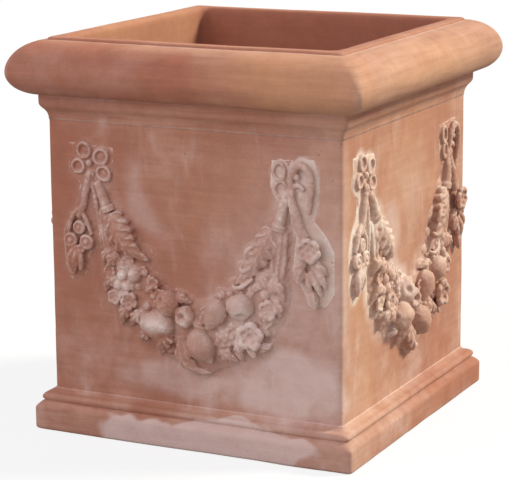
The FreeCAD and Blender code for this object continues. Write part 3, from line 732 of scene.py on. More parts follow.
def eased(before, corner, after, reach, steps=4):
    """A corner of a section, rounded off from a reach before it to a reach after it."""
    corner = Vector(corner)
    inwards = (Vector(before) - corner).normalized()
    onwards = (Vector(after) - corner).normalized()
    turn = 180 - math.degrees(inwards.angle(onwards))
    start, end = corner + inwards * reach, corner + onwards * reach
    return [*arc(start, end, turn, steps), end]


def spun(form, geometry, steps):
    """Carries geometry once round the upright axis."""
    bmesh.ops.spin(
        form, geom=geometry, axis=(0, 0, 1), cent=(0, 0, 0), angle=math.tau, steps=steps, use_merge=True
    )


def corners_of(made):
    """The corners in what an operation made."""
    return [item for item in made["geom"] if isinstance(item, bmesh.types.BMVert)]


def edges_of(corners):
    """The edges at some corners, each once."""
    return list(dict.fromkeys(edge for vert in corners for edge in vert.link_edges))


def square_ring(section, clay, rounds_at, rounding):
    """A closed section, as half widths and heights, carried round the four sides, with round mitres."""
    ring = bmesh.new()
    corners = [ring.verts.new((half, -half, up)) for half, up in section]
    edges = [ring.edges.new(pair) for pair in zip(corners, corners[1:] + corners[:1])]
    spun(ring, corners + edges, len(SIDES))
    bmesh.ops.recalc_face_normals(ring, faces=ring.faces)
    mitres = [
        edge
        for edge in ring.edges
        if edge.calc_length() < WALL_FACE
        and all(abs(abs(vert.co.x) - abs(vert.co.y)) < NEAR and rounds_at(vert.co) for vert in edge.verts)
    ]
    bmesh.ops.bevel(
        ring,
        geom=mitres,
        offset=rounding,
        affect="EDGES",
        segments=MITRE_STEPS,
        profile=0.5,
        material=-1,
    )
    lengths = [edge for edge in ring.edges if edge.calc_length() > WALL_FACE]
    cuts = round(2 * WALL_FACE / clay.tile)
    bmesh.ops.subdivide_edges(ring, edges=lengths, cuts=cuts, use_grid_fill=True)
    return ring


def widen_corners(ring, rounding, wanted):
    """Rounds the corners of a ring further, as far as is wanted at each half width and height."""
    for vert in ring.verts:
        low, high = sorted((abs(vert.co.x), abs(vert.co.y)))
        half = high
        if high - low < rounding:
            half = rounding + (low + high - math.sqrt(2 * rounding**2 - (high - low) ** 2)) / 2
        radius = wanted(half, vert.co.z)
        middle = half - radius
        if radius > rounding and low > middle:
            spoke = Vector((abs(vert.co.x) - middle, abs(vert.co.y) - middle)).normalized() * radius
            vert.co.x = math.copysign(middle + spoke.x, vert.co.x)
            vert.co.y = math.copysign(middle + spoke.y, vert.co.y)


def to_mesh(name, form):
    mesh = bpy.data.meshes.new(name)
    form.to_mesh(mesh)
    form.free()
    return mesh


def rows(items, key, width, kind=np.float32):
    """One value of every item, as rows of some width."""
    values = np.empty(len(items) * width, kind)
    items.foreach_get(key, values)
    return values.reshape(-1, width)


def mesh_points(mesh):
    return rows(mesh.vertices, "co", 3)


def mesh_normals(mesh):
    return rows(mesh.vertex_normals, "vector", 3)


def hollows(mesh, rounds, depth):
    """How far each point lies under the smoothed surface: 1 is deep in a hollow, -1 on an edge."""
    points = mesh_points(mesh)
    count = len(points)
    near, far = rows(mesh.edges, "vertices", 2, np.int32).T
    links = np.maximum(np.bincount(near, minlength=count) + np.bincount(far, minlength=count), 1)
    smooth = points.astype(float)
    for _ in range(rounds):
        for axis in range(3):
            column = smooth[:, axis]
            total = np.bincount(near, column[far], count) + np.bincount(far, column[near], count)
            smooth[:, axis] = total / links
    rise = ((smooth - points) * mesh_normals(mesh)).sum(axis=1)
    return np.clip(rise / depth, -1, 1)


def store(mesh, name, values):
    known = mesh.attributes.get(name) or mesh.attributes.new(name, "FLOAT", "POINT")
    known.data.foreach_set("value", np.asarray(values, np.float32))


def stored(mesh, name):
    return rows(mesh.attributes[name].data, "value", 1).ravel()


def uneven(place, broad, fine, share):
    """Broad waves with a share of finer ones on them."""
    return noise.noise(place * broad) + share * noise.noise(place * fine)


def weather(mesh, clay, edges):
    """Hand-made unevenness, broad and fine, and chips along the sharp edges."""
    points = mesh_points(mesh)
    normals = mesh_normals(mesh)
    moved = np.empty_like(points)
    for index, (point, normal) in enumerate(zip(points, normals)):
        place = Vector(point)
        worn = max(0.0, uneven(place, *CHIPS)) * max(0.0, -edges[index])
        shift = clay.wobble * uneven(place, *WOBBLE) - clay.chipping * worn
        moved[index] = point + normal * shift
    mesh.vertices.foreach_set("co", moved.ravel())
    mesh.update()


def clay_piece(context, name, mesh, nodes, material):
    """Shows a finished mesh in place of its solids."""
    mesh.shade_smooth()
    mesh.materials.append(material)
    piece = bpy.data.objects.new(name, mesh)
    context.scene.collection.objects.link(piece)
    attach(piece, BODY)
    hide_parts(*nodes)


def round_the_sides(name):
    return [f"{name}_{side}" for side in SIDES]


def slab_piece(context, name, ring, nodes):
    clay = context.scene.planter.clay
    mesh = to_mesh(name, ring)
    weather(mesh, clay, hollows(mesh, *SLAB_EDGES))
    store(mesh, "hollow", hollows(mesh, *SLAB_HOLLOWS))
    store(mesh, "ridge", -hollows(mesh, *SLAB_RIDGES))
    store(mesh, "slip", np.zeros(len(mesh.vertices)))
    clay_piece(context, name, mesh, nodes, clay_material(context, name))


class PLANTER_OT_slabs(bpy.types.Operator):
    """The four walls with the coils in their inside corners, and the floor with its drain"""

    bl_idname = "planter.slabs"
    bl_label = "Slabs"

    lip_outer_round: length("Outer lip", "Rounding of the lip's outer edge", 3)
    lip_inner_round: length("Inner lip", "Rounding of the lip's inner edge", 6)
    coil_turn: number("Coil turn", "Degrees that the coils' hollow face turns through", -60.0)
    drain_radius: length("Drain radius", "Radius of the drain hole", 20)
    drain_steps: whole("Drain steps", "Sides of the drain hole", 48)

    def walls(self, context):
        clay = context.scene.planter.clay
        outer, inner = self.lip_outer_round, self.lip_inner_round
        coil_top = (WALL_INSIDE, FLOOR_TOP + COIL_LEG)
        coil_foot = (WALL_INSIDE - COIL_LEG, FLOOR_TOP)
        section = [
            *run((WALL_FACE, 0), (WALL_FACE, LIP - outer), clay.tile),
            *arc((WALL_FACE, LIP - outer), (WALL_FACE - outer, LIP), QUARTER, LIP_STEPS),
            *run((WALL_FACE - outer, LIP), (WALL_INSIDE + inner, LIP), clay.tile),
            *arc((WALL_INSIDE + inner, LIP), (WALL_INSIDE, LIP - inner), QUARTER, LIP_STEPS),
            *run((WALL_INSIDE, LIP - inner), coil_top, clay.tile),
            *arc(coil_top, coil_foot, self.coil_turn, LIP_STEPS),
            coil_foot,
            (WALL_INSIDE, FLOOR_TOP),
            (WALL_INSIDE, 0),
        ]
        ring = square_ring(section, clay, lambda place: True, clay.corner_round)
        lip = (WALL_INSIDE + inner, WALL_FACE - outer)
        foot = WALL_INSIDE - COIL_LEG / 2

        def coil_round(half, height):
            hidden = height < FLOOR_TOP + outer and half > foot
            return clay.corner_round if hidden else np.interp(half, lip, (COIL_LEG, clay.corner_round))

        widen_corners(ring, clay.corner_round, coil_round)
        coils = [f"corner_coil_{corner}" for corner in CORNERS]
        nodes = round_the_sides("wall") + round_the_sides("floor_coil") + coils
        slab_piece(context, "walls", ring, nodes)

    def floor(self, context):
        clay = context.scene.planter.clay
        floor = bmesh.new()
        bmesh.ops.create_circle(floor, segments=self.drain_steps, radius=self.drain_radius)
        edge = bmesh.ops.create_grid(floor, x_segments=1, y_segments=1, size=WALL_INSIDE)["verts"]
        bmesh.ops.delete(floor, geom=floor.faces[:], context="FACES_ONLY")
        sides = edges_of(edge)
        bmesh.ops.subdivide_edges(floor, edges=sides, cuts=self.drain_steps // 4 - 1)
        bmesh.ops.bridge_loops(floor, edges=floor.edges[:])
        spokes = [line for line in floor.edges if line.calc_length() > WALL_INSIDE / 2]
        cuts = round(WALL_INSIDE / clay.tile / 2)
        bmesh.ops.subdivide_edges(floor, edges=spokes, cuts=cuts, use_grid_fill=True)
        lifted = corners_of(bmesh.ops.extrude_face_region(floor, geom=floor.faces[:]))
        bmesh.ops.translate(floor, vec=(0, 0, FLOOR_TOP), verts=lifted)
        bmesh.ops.recalc_face_normals(floor, faces=floor.faces)
        slab_piece(context, "floor", floor, ["floor_slab"])

    def execute(self, context):
        self.walls(context)
        self.floor(context)
        return {"FINISHED"}


class PLANTER_OT_mouldings(bpy.types.Operator):
    """Plinth, neck and rim, each carried round the four sides"""

    bl_idname = "planter.mouldings"
    bl_label = "Mouldings"

    foot_round: length("Foot rounding", "Rounding under the plinth's fascia", 4)
    fascia_height: length("Fascia", "Height of the plinth's fascia", 31)
    slope_run: length("Slope run", "How far the slope over the fascia leans back", 6.4)
    slope_top: length("Slope top", "Height of the slope's upper edge", 37.2)
    groove: length("Groove", "Depth of the groove under the bead", 3.4)
    bead_bottom: length("Bead bottom", "Height at which the bead begins", 38.6)
    bead_top: length("Bead top", "Height at which the bead ends", 48.6)
    bead_lean: length("Bead lean", "How far the bead's top lies behind its bottom", 2.5)
    bead_turn: number("Bead turn", "Degrees that the bead turns through", 150.0)
    cap_turn: number("Cap turn", "Degrees that the hollow cap turns through", -50.0)
    neck_edge: length("Neck edge", "Thickness of the neck's lower edge", 0.6)
    neck_swell: length("Neck swell", "How far the fillet stands out over the cove", 3)
    neck_bend: length("Neck bend", "Depth under the rim at which the cove ends", 18)
    cove_turn: number("Cove turn", "Degrees that the neck's cove turns through", -50.0)
    swell_turn: number("Swell turn", "Degrees that the neck turns through up to the fillet", 44.0)
    neck_fillet: length("Neck fillet", "Height of the upright fillet", 10)
    rim_seat: length("Rim seat", "How far the flat underside of the rim stands out", 12)
    rim_lap: length("Rim lap", "How far the rim rises over its solid, against the lip", 2)
    rim_belly: length("Rim belly", "Height of the rim's widest line", 478)
    rim_corner: length("Rim corner", "Rounding of the rim's mitres", 9)

    def plinth(self, step, arris):
        foot = (PLINTH_FACE - self.foot_round, 0), (PLINTH_FACE, self.foot_round)
        fascia = (PLINTH_FACE, self.fascia_height)
        slope = (PLINTH_FACE - self.slope_run, self.slope_top)
        seat = (slope[0] - self.groove, self.bead_bottom)
        bead = (seat[0] - self.bead_lean, self.bead_top)
        return [
            (WALL_FACE - BITE, 0),
            *arc(*foot, QUARTER, FOOT_STEPS),
            *run(foot[1], (PLINTH_FACE, self.fascia_height - arris), step),
            *eased(foot[1], fascia, slope, arris),
            *eased(fascia, slope, seat, arris / 2, 2),
            *arc(seat, bead, self.bead_turn, BEAD_STEPS),
            *arc(bead, (WALL_FACE, PLINTH_TOP), self.cap_turn, CAP_STEPS),
            (WALL_FACE, PLINTH_TOP),
            (WALL_FACE - BITE, PLINTH_TOP),
        ]

    def neck(self, step):
        low = (WALL_FACE + self.neck_edge, NECK_BOTTOM)
        bend = (NECK_FACE - self.neck_swell, NECK_TOP - self.neck_bend)
        fillet = (NECK_FACE, NECK_TOP - self.neck_fillet)
        return [
            (WALL_FACE - BITE, NECK_BOTTOM),
            *arc(low, bend, self.cove_turn),
            *arc(bend, fillet, self.swell_turn, CAP_STEPS),
            *run(fillet, (NECK_FACE, NECK_TOP + BITE), step),
            (NECK_FACE, NECK_TOP + BITE),
            (WALL_FACE - BITE, NECK_TOP + BITE),
        ]

    def rim(self):
        belly = (RIM_FACE, self.rim_belly)
        top = RIM_TOP + self.rim_lap
        return [
            (WALL_FACE - BITE, NECK_TOP),
            *arc((WALL_FACE + self.rim_seat, NECK_TOP), belly, QUARTER, RIM_STEPS[0]),
            *arc(belly, (WALL_FACE, top), QUARTER, RIM_STEPS[1]),
            (WALL_FACE, top),
            (WALL_FACE - BITE, top),
        ]

    def execute(self, context):
        clay = context.scene.planter.clay
        sections = {
            "plinth": (self.plinth(clay.tile, clay.arris_round), clay.corner_round),
            "neck": (self.neck(clay.tile), clay.corner_round),
            "rim": (self.rim(), self.rim_corner),
        }
        for name, (section, rounding) in sections.items():
            ring = square_ring(section, clay, lambda place: abs(place.x) > WALL_FACE + NEAR, rounding)
            slab_piece(context, name, ring, round_the_sides(name))
        return {"FINISHED"}


def smooth_path(points, steps=6):
    """Points on a soft line through the given ones."""
    points = [Vector(point) for point in points]
    ends = [points[0], *points, points[-1]]
    line = []
    for before, start, end, after in zip(ends, ends[1:], ends[2:], ends[3:]):
        handles = start + (end - before) / HANDLE_PARTS, end - (after - start) / HANDLE_PARTS
        line += interpolate_bezier(start, *handles, end, steps + 1)[:-1]
    return line + [points[-1]]


def along(line, share):
    """The place and heading at a share of the way along a line of points."""
    at = min(share, NEARLY_ALL) * (len(line) - 1)
    index = int(at)
    heading = line[min(index + 1, len(line) - 1)] - line[max(index - 1, 0)]
    return line[index].lerp(line[index + 1], at - index), heading.normalized()


def make_fruit(fruit):
    """A ball shaped to its kind, with its eye turned where it looks."""
    shape = FRUIT_SHAPES[fruit.kind]
    form = bmesh.new()
    bmesh.ops.create_uvsphere(form, radius=1, **BALL_STEPS)
    for vert in form.verts:
        x, y, z = vert.co
        eye = math.exp(-(x * x + y * y) / shape["eye"] ** 2) if z > 0 else 0
        lobe = 1 + shape["lobes"] * math.cos(LOBE_COUNT * math.atan2(y, x))
        narrow = lobe * (1 - shape["taper"] * z)
        vert.co = (x * narrow, y * narrow, z + eye * (shape["tip"] - shape["dent"]))
    turn, lift = math.radians(fruit.turn), math.radians(fruit.lift)
    looks = Vector((math.cos(lift) * math.cos(turn), math.cos(lift) * math.sin(turn), math.sin(lift)))
    swing = Vector((0, 0, 1)).rotation_difference(looks).to_matrix().to_4x4()
    bmesh.ops.scale(form, vec=(fruit.width / 2, fruit.width / 2, fruit.length / 2), verts=form.verts)
    bmesh.ops.transform(form, matrix=swing, verts=form.verts)
    bmesh.ops.scale(form, vec=(1, 1, RELIEF_FLATTEN), verts=form.verts)
    bmesh.ops.translate(form, vec=(*fruit.place, fruit.height), verts=form.verts)
    return form


def make_strand(strand):
    """A round or flattened length along a soft line, thick and thin as its radii say."""
    form = bmesh.new()
    line = smooth_path(strand.path)
    last = len(line) - 1
    rings = []
    for index, place in enumerate(line):
        share = index / last
        at = share * (len(strand.radii) - 1)
        lower = min(int(at), len(strand.radii) - 2)
        radius = strand.radii[lower] + (strand.radii[lower + 1] - strand.radii[lower]) * (at - lower)
        _, heading = along(line, share)
        side = heading.cross((0, 0, 1)).normalized()
        rise = side.cross(heading)
        turned = Matrix((side * radius, rise * radius * strand.flat, heading)).transposed().to_4x4()
        ring = bmesh.ops.create_circle(
            form,
            cap_ends=index in (0, last),
            segments=TUBE_STEPS,
            radius=1,
            matrix=Matrix.Translation(place) @ turned,
        )["verts"]
        rings.append(edges_of(ring))
    for lower, upper in zip(rings, rings[1:]):
        bmesh.ops.bridge_loops(form, edges=lower + upper)
    return form


def make_leaf(leaf):
    """A crowned blade with pointed lobes, a rib to each lobe and a midrib, down to the wall."""
    form = bmesh.new()
    line = smooth_path(leaf.path)
    bmesh.ops.create_grid(form, x_segments=LEAF_STEPS * leaf.lobes, y_segments=LEAF_STEPS_ACROSS, size=1)
    for vert in form.verts:
        share, across = (vert.co.x + 1) / 2, vert.co.y
        place, heading = along(line, share)
        side = heading.cross((0, 0, 1)).normalized()
        swell = math.sin(math.pi * (LEAF_ROOT + (1 - LEAF_ROOT) * share) ** LEAF_FULL)
        at_edge = (leaf.lobes * share - RIB_SLANT) % 1
        at_rib = (leaf.lobes * share - RIB_SLANT * abs(across)) % 1
        lobe = 1 - LEAF_NOTCH + LEAF_NOTCH * math.sin(math.pi * at_edge) ** LEAF_POINT
        half = leaf.width / 2 * max(LEAF_LEAST, swell) * lobe
        crown = LEAF_CROWN * leaf.width * (1 - across * across) * swell
        rib = RIB_SHARE * leaf.width * (math.sin(math.pi * at_rib) - 0.5) * min(1, 2 * abs(across))
        midrib = MIDRIB_RISE * math.exp(-((across / MIDRIB_WIDTH) ** 2))
        vert.co = place + side * across * half + Vector((0, 0, crown + (rib + midrib) * swell))
    for vert in corners_of(bmesh.ops.extrude_face_region(form, geom=form.faces[:])):
        vert.co.z = FORM_FOOT
    return form


def make_loop(loop):
    """A ring of ribbon lying on the wall."""
    form = bmesh.new()
    upright = Matrix.Translation((loop.radius, 0, 0)) @ Matrix.Rotation(math.pi / 2, 4, "X")
    ring = bmesh.ops.create_circle(form, segments=TUBE_STEPS, radius=loop.thick, matrix=upright)["verts"]
    spun(form, ring + form.edges[:], LOOP_STEPS)
    bmesh.ops.scale(form, vec=(loop.stretch, 1, LOOP_RISE), verts=form.verts)
    turned = Matrix.Rotation(math.radians(loop.turn), 4, "Z")
    lifted = Matrix.Translation((*loop.place, loop.height))
    bmesh.ops.transform(form, matrix=lifted @ turned, verts=form.verts)
    return form


def make_pad(place, radius, rise):
    """A soft swelling of clay behind a form, which runs out into the wall."""
    form = bmesh.new()
    bmesh.ops.create_uvsphere(form, radius=1, **PAD_STEPS)
    bmesh.ops.scale(form, vec=(radius, radius, rise + PAD_DEPTH), verts=form.verts)
    bmesh.ops.translate(form, vec=(place[0], place[1], -PAD_DEPTH), verts=form.verts)
    return form


def make_ground(corners, thickness):
    """A flat patch of clay that was pressed on with the forms."""
    form = bmesh.new()
    face = form.faces.new([form.verts.new((*corner, FORM_FOOT)) for corner in corners])
    lifted = corners_of(bmesh.ops.extrude_face_region(form, geom=[face]))
    bmesh.ops.translate(form, vec=(0, 0, thickness - FORM_FOOT), verts=lifted)
    return form


class Mould:
    """Gathers the forms of one sprig."""

    def __init__(self, seed, rise):
        self.clay = bmesh.new()
        self.random = random.Random(seed)
        self.rise = rise
        self.pads = []

    def take(self, form):
        """Takes over a finished form."""
        scrap = to_mesh("form", form)
        self.clay.from_mesh(scrap)
        bpy.data.meshes.remove(scrap)

    def add(self, form):
        """Adds a row of a table by the maker of its kind."""
        makers = {
            Fruit: self.fruit,
            Flower: self.flower,
            Leaf: self.leaf,
            Strand: self.strand,
            Loop: self.loop,
        }
        makers[type(form)](form)

    def ground(self, place, radius):
        self.pads.append((place[0], place[1], radius))
        self.take(make_pad(place, radius + GROUND_MARGIN, self.rise))

    def fruit(self, fruit):
        self.take(make_fruit(fruit))
        self.ground(fruit.place, min(fruit.length, fruit.width) / 2)

    def strand(self, strand):
        self.take(make_strand(strand))
        for place in smooth_path(strand.path, PAD_STRETCH_STEPS):
            self.ground(place, max(strand.radii))

    def leaf(self, leaf):
        self.take(make_leaf(leaf))
        for place in smooth_path(leaf.path, PAD_STRETCH_STEPS)[:-1]:
            self.ground(place, leaf.width / LEAF_PAD_PART)

    def loop(self, loop):
        self.take(make_loop(loop))
        self.pads.append((*loop.place, loop.radius))
        self.take(make_pad(loop.place, loop.radius + loop.thick, loop.height))

    def flower(self, flower):
        """Cupped petals round an eye."""
        self.ground(flower.place, flower.radius)
        start = self.random.uniform(0, 360)
        for petal in range(flower.petals):
            turn = start + 360 * petal / flower.petals
            out = flower.radius * PETAL_OUT
            place = [
                flower.place[0] + out * math.cos(math.radians(turn)),
                flower.place[1] + out * math.sin(math.radians(turn)),
            ]
            lifted = flower.height + out * math.sin(math.radians(flower.cup))
            size = flower.radius * PETAL_LENGTH, flower.radius * PETAL_WIDTH
            self.take(make_fruit(Fruit("medlar", place, *size, turn + 180, 90 - flower.cup, lifted)))
        eye = flower.radius * EYE_WIDTH
        self.take(make_fruit(berry(flower.place, eye, flower.height)))

    def grapes(self, place, reach, size, count, height):
        """A bunch of berries, laid out in a spiral."""
        for index in range(count):
            turn = index * GOLDEN_ANGLE
            out = math.sqrt((index + 0.5) / count)
            spot = (
                place[0] + reach[0] * out * math.cos(turn),
                place[1] + reach[1] * out * math.sin(turn),
            )
            width = size * 2 * self.random.uniform(*GRAPE_SIZES)
            self.fruit(berry(spot, width, height + GRAPE_CROWN * (1 - out * out)))

    def swag(self, outer, inner, count, rise):
        """The raised bed of a swag, with berries, buds, leaves and flowers between its fruit."""
        fruits = [form for form in FESTOON if isinstance(form, Fruit)]
        edges = [smooth_path([(*place, 0) for place in side]) for side in (outer, inner)]
        for step in range(SWAG_PADS):
            low, high = [along(edge, (step + 0.5) / SWAG_PADS)[0] for edge in edges]
            self.take(make_pad((low + high) / 2, (high - low).length / 2 + GROUND_MARGIN, rise))
            self.pads.append((*((low + high) / 2).xy, (high - low).length / 2))
        for index in range(count):
            share = (index + self.random.random()) / count
            low, high = [along(edge, share)[0] for edge in edges]
            place = low.lerp(high, self.random.uniform(*SWAG_ACROSS))
            if any(math.dist(place.xy, fruit.place) < SWAG_CLEAR * fruit.width for fruit in fruits):
                continue
            turn = self.random.uniform(0, math.tau)
            kind = self.random.random()
            height = rise * self.random.uniform(*SWAG_HEIGHTS)
            if kind < SWAG_BERRIES:
                width = self.random.uniform(*SWAG_BERRY_WIDTHS)
                self.take(make_fruit(berry(place.xy, width, height)))
            elif kind < SWAG_BUDS:
                width = self.random.uniform(*SWAG_BUD_WIDTHS)
                lean = math.degrees(turn)
                bud = Fruit("bud", place.xy, SWAG_BUD_LENGTH * width, width, lean, SWAG_BUD_LIFT, height)
                self.take(make_fruit(bud))
            elif kind < SWAG_LEAVES:
                reach = Vector((math.cos(turn), math.sin(turn), 0))
                reach *= self.random.uniform(*SWAG_LEAF_REACHES)
                root, tip = place - reach, place + reach
                root.z, place.z, tip.z = [height + arch for arch in SWAG_LEAF_ARCH]
                width = self.random.uniform(*SWAG_LEAF_WIDTHS)
                self.take(make_leaf(Leaf((root, place, tip), width, SWAG_LEAF_LOBES)))
            else:
                radius = self.random.uniform(*SWAG_FLOWER_RADII)
                self.flower(Flower(place.xy, radius, LOBE_COUNT, SWAG_CUP, height))

    def press(self, name, clay):
        """The sprig as it leaves the mould: fused, softened, flat at its back."""
        mesh = to_mesh(name, self.clay)
        lump = bpy.data.objects.new(name, mesh)
        bpy.context.scene.collection.objects.link(lump)
        fuse = lump.modifiers.new("Fuse", "REMESH")
        fuse.mode = "VOXEL"
        fuse.voxel_size = clay.press_size
        soften = lump.modifiers.new("Soften", "SMOOTH")
        soften.iterations = clay.press_rounds
        soften.factor = SOFTENING
        ready = lump.evaluated_get(bpy.context.evaluated_depsgraph_get())
        pressed = bmesh.new()
        pressed.from_mesh(ready.data)
        bpy.data.objects.remove(lump)
        bpy.data.meshes.remove(mesh)
        cut = bmesh.ops.bisect_plane(
            pressed,
            geom=pressed.verts[:] + pressed.edges[:] + pressed.faces[:],
            plane_co=(0, 0, SPRIG_BACK),
            plane_no=(0, 0, 1),
            clear_inner=True,
        )["geom_cut"]
        seam = [item for item in cut if isinstance(item, bmesh.types.BMEdge)]
        bmesh.ops.triangle_fill(pressed, edges=seam, use_beauty=True)
        bmesh.ops.recalc_face_normals(pressed, faces=pressed.faces)
        for vert in pressed.verts:
            if vert.co.z > 0:
                vert.co += vert.normal * PRESS_LUMPS * uneven(vert.co, *LUMPS)
        sprig = to_mesh(name, pressed)
        store(sprig, "hollow", hollows(sprig, *SPRIG_HOLLOWS))
        store(sprig, "ridge", -hollows(sprig, *SPRIG_RIDGES))
        relief = mesh_points(sprig)[:, 2]
        low = np.clip((SLIP_LOW - relief) / SLIP_LOW_FADE, 0, 1)
        edge = np.clip((SLIP_EDGE - relief) / SLIP_EDGE, 0, 1)
        store(sprig, "slip", 0.5 * low + 0.5 * edge)
        return sprig


def slip_at(slip, along_wall):
    """How strong the slip is at places along a wall."""
    return np.interp(along_wall * MM / WALL_FACE, SLIP_ENDS, (slip.left, slip.right))


def brush_slip(pads, turn, slip):
    """Whitens the wall of one side round a sprig."""
    walls = bpy.data.objects["walls"].data
    points = mesh_points(walls) @ np.array(Matrix.Rotation(math.radians(turn), 3, "Z")) / MM
    known = stored(walls, "slip")
    outer = np.flatnonzero(points[:, 1] < OUTER_SKIN - WALL_FACE / MM)
    along_wall, up = points[outer, 0], points[outer, 2]
    away = np.full(len(outer), float(slip.reach))
    for place, height, radius in pads:
        away = np.minimum(away, np.hypot(along_wall - place, up - height) - radius)
    near = np.clip(SLIP_FULL - SLIP_FULL * away / slip.reach, 0, 1)
    brushed = slip_at(slip, along_wall) * near
    brushed *= np.interp(up, SLIP_HEIGHTS, (0, 1))
    known[outer] = np.maximum(known[outer], brushed)
    store(walls, "slip", known)


def stick_on(context, name, sprig, pads, node):
    """Copies of a sprig, one on each side of the planter."""
    upright = Matrix(((1, 0, 0, 0), (0, 0, -1, -WALL_FACE / MM), (0, 1, 0, 0), (0, 0, 0, 1)))
    slip = stored(sprig, "slip")
    along_wall = mesh_points(sprig)[:, 0]
    # Whiter where the sprig faces up: slip, and painted highlight as of light from above
    top_slip_and_highlight = SLIP_AND_HIGHLIGHT_ON_TOP * np.clip(mesh_normals(sprig)[:, 1], 0, 1)
    material = clay_material(context, "sprig")
    for side, turn in SIDES.items():
        mesh = sprig.copy()
        mesh.transform(Matrix.Rotation(math.radians(turn), 4, "Z") @ Matrix.Scale(MM, 4) @ upright)
        # The film takes in the painted highlight on what faces up
        film = slip_at(Slip(*SLIP_FILM[side], 0), along_wall) + top_slip_and_highlight
        brushed = np.maximum(slip * slip_at(SLIP[name, side], along_wall), film)
        store(mesh, "slip", brushed)
        clay_piece(context, f"{name}_{side}", mesh, [f"{node}_{side}"], material)
        brush_slip(pads, turn, SLIP[name, side])


class PLANTER_OT_festoons(bpy.types.Operator):
    """The fruit festoon between the bows, one a side"""

    bl_idname = "planter.festoons"
    bl_label = "Festoons"

    rise: number("Rise", "Swelling of the clay behind a form, in millimetres", 3.0)

    def execute(self, context):
        mould = Mould(FESTOON_SEED, self.rise)
        for form in FESTOON:
            mould.add(form)
        mould.grapes(**GRAPES)
        mould.swag(SWAG_OUTER, SWAG_INNER, SWAG_FILLERS, SWAG_RISE)
        sprig = mould.press("garland", context.scene.planter.clay)
        stick_on(context, "garland", sprig, mould.pads, "festoon")
        return {"FINISHED"}


class PLANTER_OT_drops(bpy.types.Operator):
    """The bows with their pendants, a left and a right one on each side"""

    bl_idname = "planter.drops"
    bl_label = "Bows and pendants"

    rise: number("Rise", "Swelling of the clay behind a form, in millimetres", 1.8)
    ground: number("Ground", "Thickness of the pressed ground, in millimetres", 0.7)

    def execute(self, context):
        bows = {"left": (LEFT_BOW, LEFT_GROUND), "right": (RIGHT_BOW, RIGHT_GROUND)}
        for hand, (forms, ground) in bows.items():
            mould = Mould(BOW_SEED, self.rise)
            mould.take(make_ground(ground, self.ground))
            for form in forms:
                mould.add(form)
            name = f"bow_{hand}"
            sprig = mould.press(name, context.scene.planter.clay)
            stick_on(context, name, sprig, mould.pads, f"drop_{hand}")
        return {"FINISHED"}


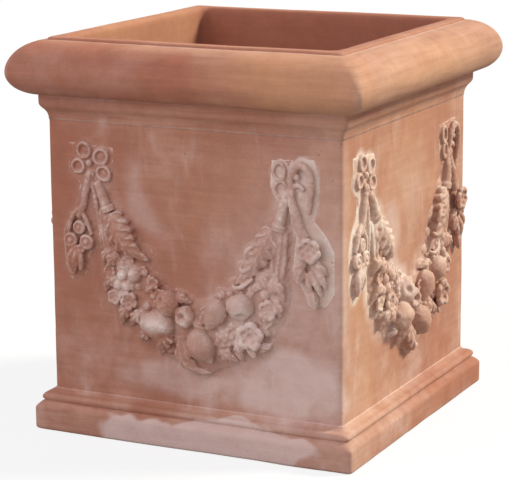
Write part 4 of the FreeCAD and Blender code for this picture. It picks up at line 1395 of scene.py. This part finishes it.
class PLANTER_OT_stage(bpy.types.Operator):
    """Floor, lamps, even light and camera"""

    bl_idname = "planter.stage"
    bl_label = "Stage"

    floor_size: length("Floor", "Half width of the floor", 30 / MM)
    paper_seen: number("Paper", "Grey of the floor as the camera sees it", 0.85)
    paper_bounce: number("Paper bounce", "Grey of the floor as it lights the planter", 0.3)
    paper_rough: number("Paper roughness", "Roughness of the floor", 0.9)
    paper_glow: number("Paper glow", "Share of plain white in the floor as the camera sees it", 0.82)
    key_from: FloatVectorProperty(
        name="Key from",
        description="Direction that the key lamp shines from",
        subtype="DIRECTION",
        default=(0.66, 0.44, 0.61),
    )
    key_colour: tint("Key colour", "Colour of the key lamp", (0.97, 1.0, 0.85))
    key_softness: FloatProperty(
        name="Key softness",
        description="Angle that the key lamp takes up",
        default=math.radians(14),
        subtype="ANGLE",
        unit="ROTATION",
    )
    fill_place: position("Fill place", "Where the fill lamp stands", (-1.2, -3.1, 2.0))
    fill_size: length("Fill size", "Width of the fill lamp", 3.6 / MM)
    fill_colour: tint("Fill colour", "Colour of the fill lamp", (1.0, 0.95, 1.03))
    sky_colour: tint("Sky colour", "Colour of the even light", (1.0, 0.94, 1.02))
    view_reach: length("View reach", "How far the camera sees", 200 / MM)

    def lamp(self, context, name, kind, settings):
        lamp = bpy.data.lights.new(name, kind)
        for key, value in settings.items():
            setattr(lamp, key, value)
        holder = bpy.data.objects.new(name, lamp)
        context.scene.collection.objects.link(holder)
        return holder

    def floor(self, context):
        floor = bmesh.new()
        bmesh.ops.create_grid(floor, x_segments=4, y_segments=4, size=self.floor_size)
        ground = bpy.data.objects.new("stage_floor", to_mesh("stage_floor", floor))
        context.scene.collection.objects.link(ground)
        material = bpy.data.materials.new("stage_paper")
        paper = Finish(material)
        matt = paper.tree.nodes["Principled BSDF"]
        seen = paper.add("ShaderNodeLightPath", output="Is Camera Ray")
        greys = [(grey, grey, grey, 1) for grey in (self.paper_bounce, self.paper_seen)]
        paper.feed(matt.inputs["Base Color"], paper.mix(seen, *greys))
        paper.feed(matt.inputs["Roughness"], self.paper_rough)
        glow = paper.add("ShaderNodeEmission", {}, {"Color": (1, 1, 1, 1), "Strength": 1.0})
        shaded = Shade(paper, matt.outputs[0])
        shown = paper.add("ShaderNodeMixShader", {}, {0: seen * self.paper_glow, 1: shaded, 2: glow})
        paper.feed(paper.tree.nodes["Material Output"].inputs["Surface"], shown)
        ground.data.materials.append(material)

    def lamps(self, context):
        stage = context.scene.planter.stage
        sun = {"energy": stage.sun_strength, "angle": self.key_softness, "color": self.key_colour}
        key = self.lamp(context, "key", "SUN", sun)
        key.rotation_euler = Vector(self.key_from).to_track_quat("Z", "Y").to_euler()
        soft = {"energy": stage.fill_strength, "size": self.fill_size, "color": self.fill_colour}
        fill = self.lamp(context, "fill", "AREA", soft)
        fill.location = self.fill_place
        middle = Vector((0, 0, LIP / 2))
        fill.rotation_euler = (fill.location - middle).to_track_quat("Z", "Y").to_euler()

    def sky(self, context):
        """Even light on the planter, under a white sky."""
        world = bpy.data.worlds.new("studio")
        context.scene.world = world
        strength = context.scene.planter.stage.sky_strength
        sky = Finish(world)
        rays = [sky.add("ShaderNodeLightPath", output=ray) for ray in ("Is Camera Ray", "Is Glossy Ray")]
        direct = sum(rays).capped()
        even = sky.tree.nodes["Background"].inputs
        sky.feed(even["Strength"], direct * (1 - strength) + strength)
        sky.feed(even["Color"], sky.mix(direct, (*self.sky_colour, 1), (1, 1, 1, 1)))

    def camera(self, context):
        stage = context.scene.planter.stage
        view = bpy.data.objects.new("camera", bpy.data.cameras.new("camera"))
        context.scene.collection.objects.link(view)
        view.data.sensor_fit = "HORIZONTAL"
        view.data.lens = stage.lens
        view.data.clip_end = self.view_reach
        pitch, roll, turn = stage.camera_turn
        view.rotation_mode = "QUATERNION"
        view.rotation_quaternion = Euler((pitch, 0, turn)).to_quaternion() @ Quaternion((0, 0, 1), roll)
        view.location = stage.camera_place
        context.scene.camera = view

    def execute(self, context):
        self.floor(context)
        self.lamps(context)
        self.sky(context)
        self.camera(context)
        context.scene.view_settings.view_transform = "Standard"
        return {"FINISHED"}


class VIEW3D_PT_planter(bpy.types.Panel):
    """The planter's settings and steps"""

    bl_label = "Planter"
    bl_space_type = "VIEW_3D"
    bl_region_type = "UI"
    bl_category = "Planter"

    def draw(self, context):
        settings = context.scene.planter
        for group in (settings.clay, settings.colours, settings.stage):
            for name in group.__annotations__:
                self.layout.prop(group, name)
        for step in STEPS:
            self.layout.operator(step.bl_idname)


STEPS = (
    PLANTER_OT_slabs,
    PLANTER_OT_mouldings,
    PLANTER_OT_festoons,
    PLANTER_OT_drops,
    PLANTER_OT_stage,
)
CLASSES = (PlanterClay, PlanterColours, PlanterStage, PlanterSettings, *STEPS, VIEW3D_PT_planter)


def register():
    for cls in CLASSES:
        bpy.utils.register_class(cls)
    bpy.types.Scene.planter = PointerProperty(type=PlanterSettings)


def unregister():
    del bpy.types.Scene.planter
    for cls in reversed(CLASSES):
        bpy.utils.unregister_class(cls)


def main():
    register()
    bpy.ops.planter.slabs()
    bpy.ops.planter.mouldings()
    bpy.ops.planter.festoons()
    bpy.ops.planter.drops()
    bpy.ops.planter.stage()


if __name__ == "__main__":
    main()
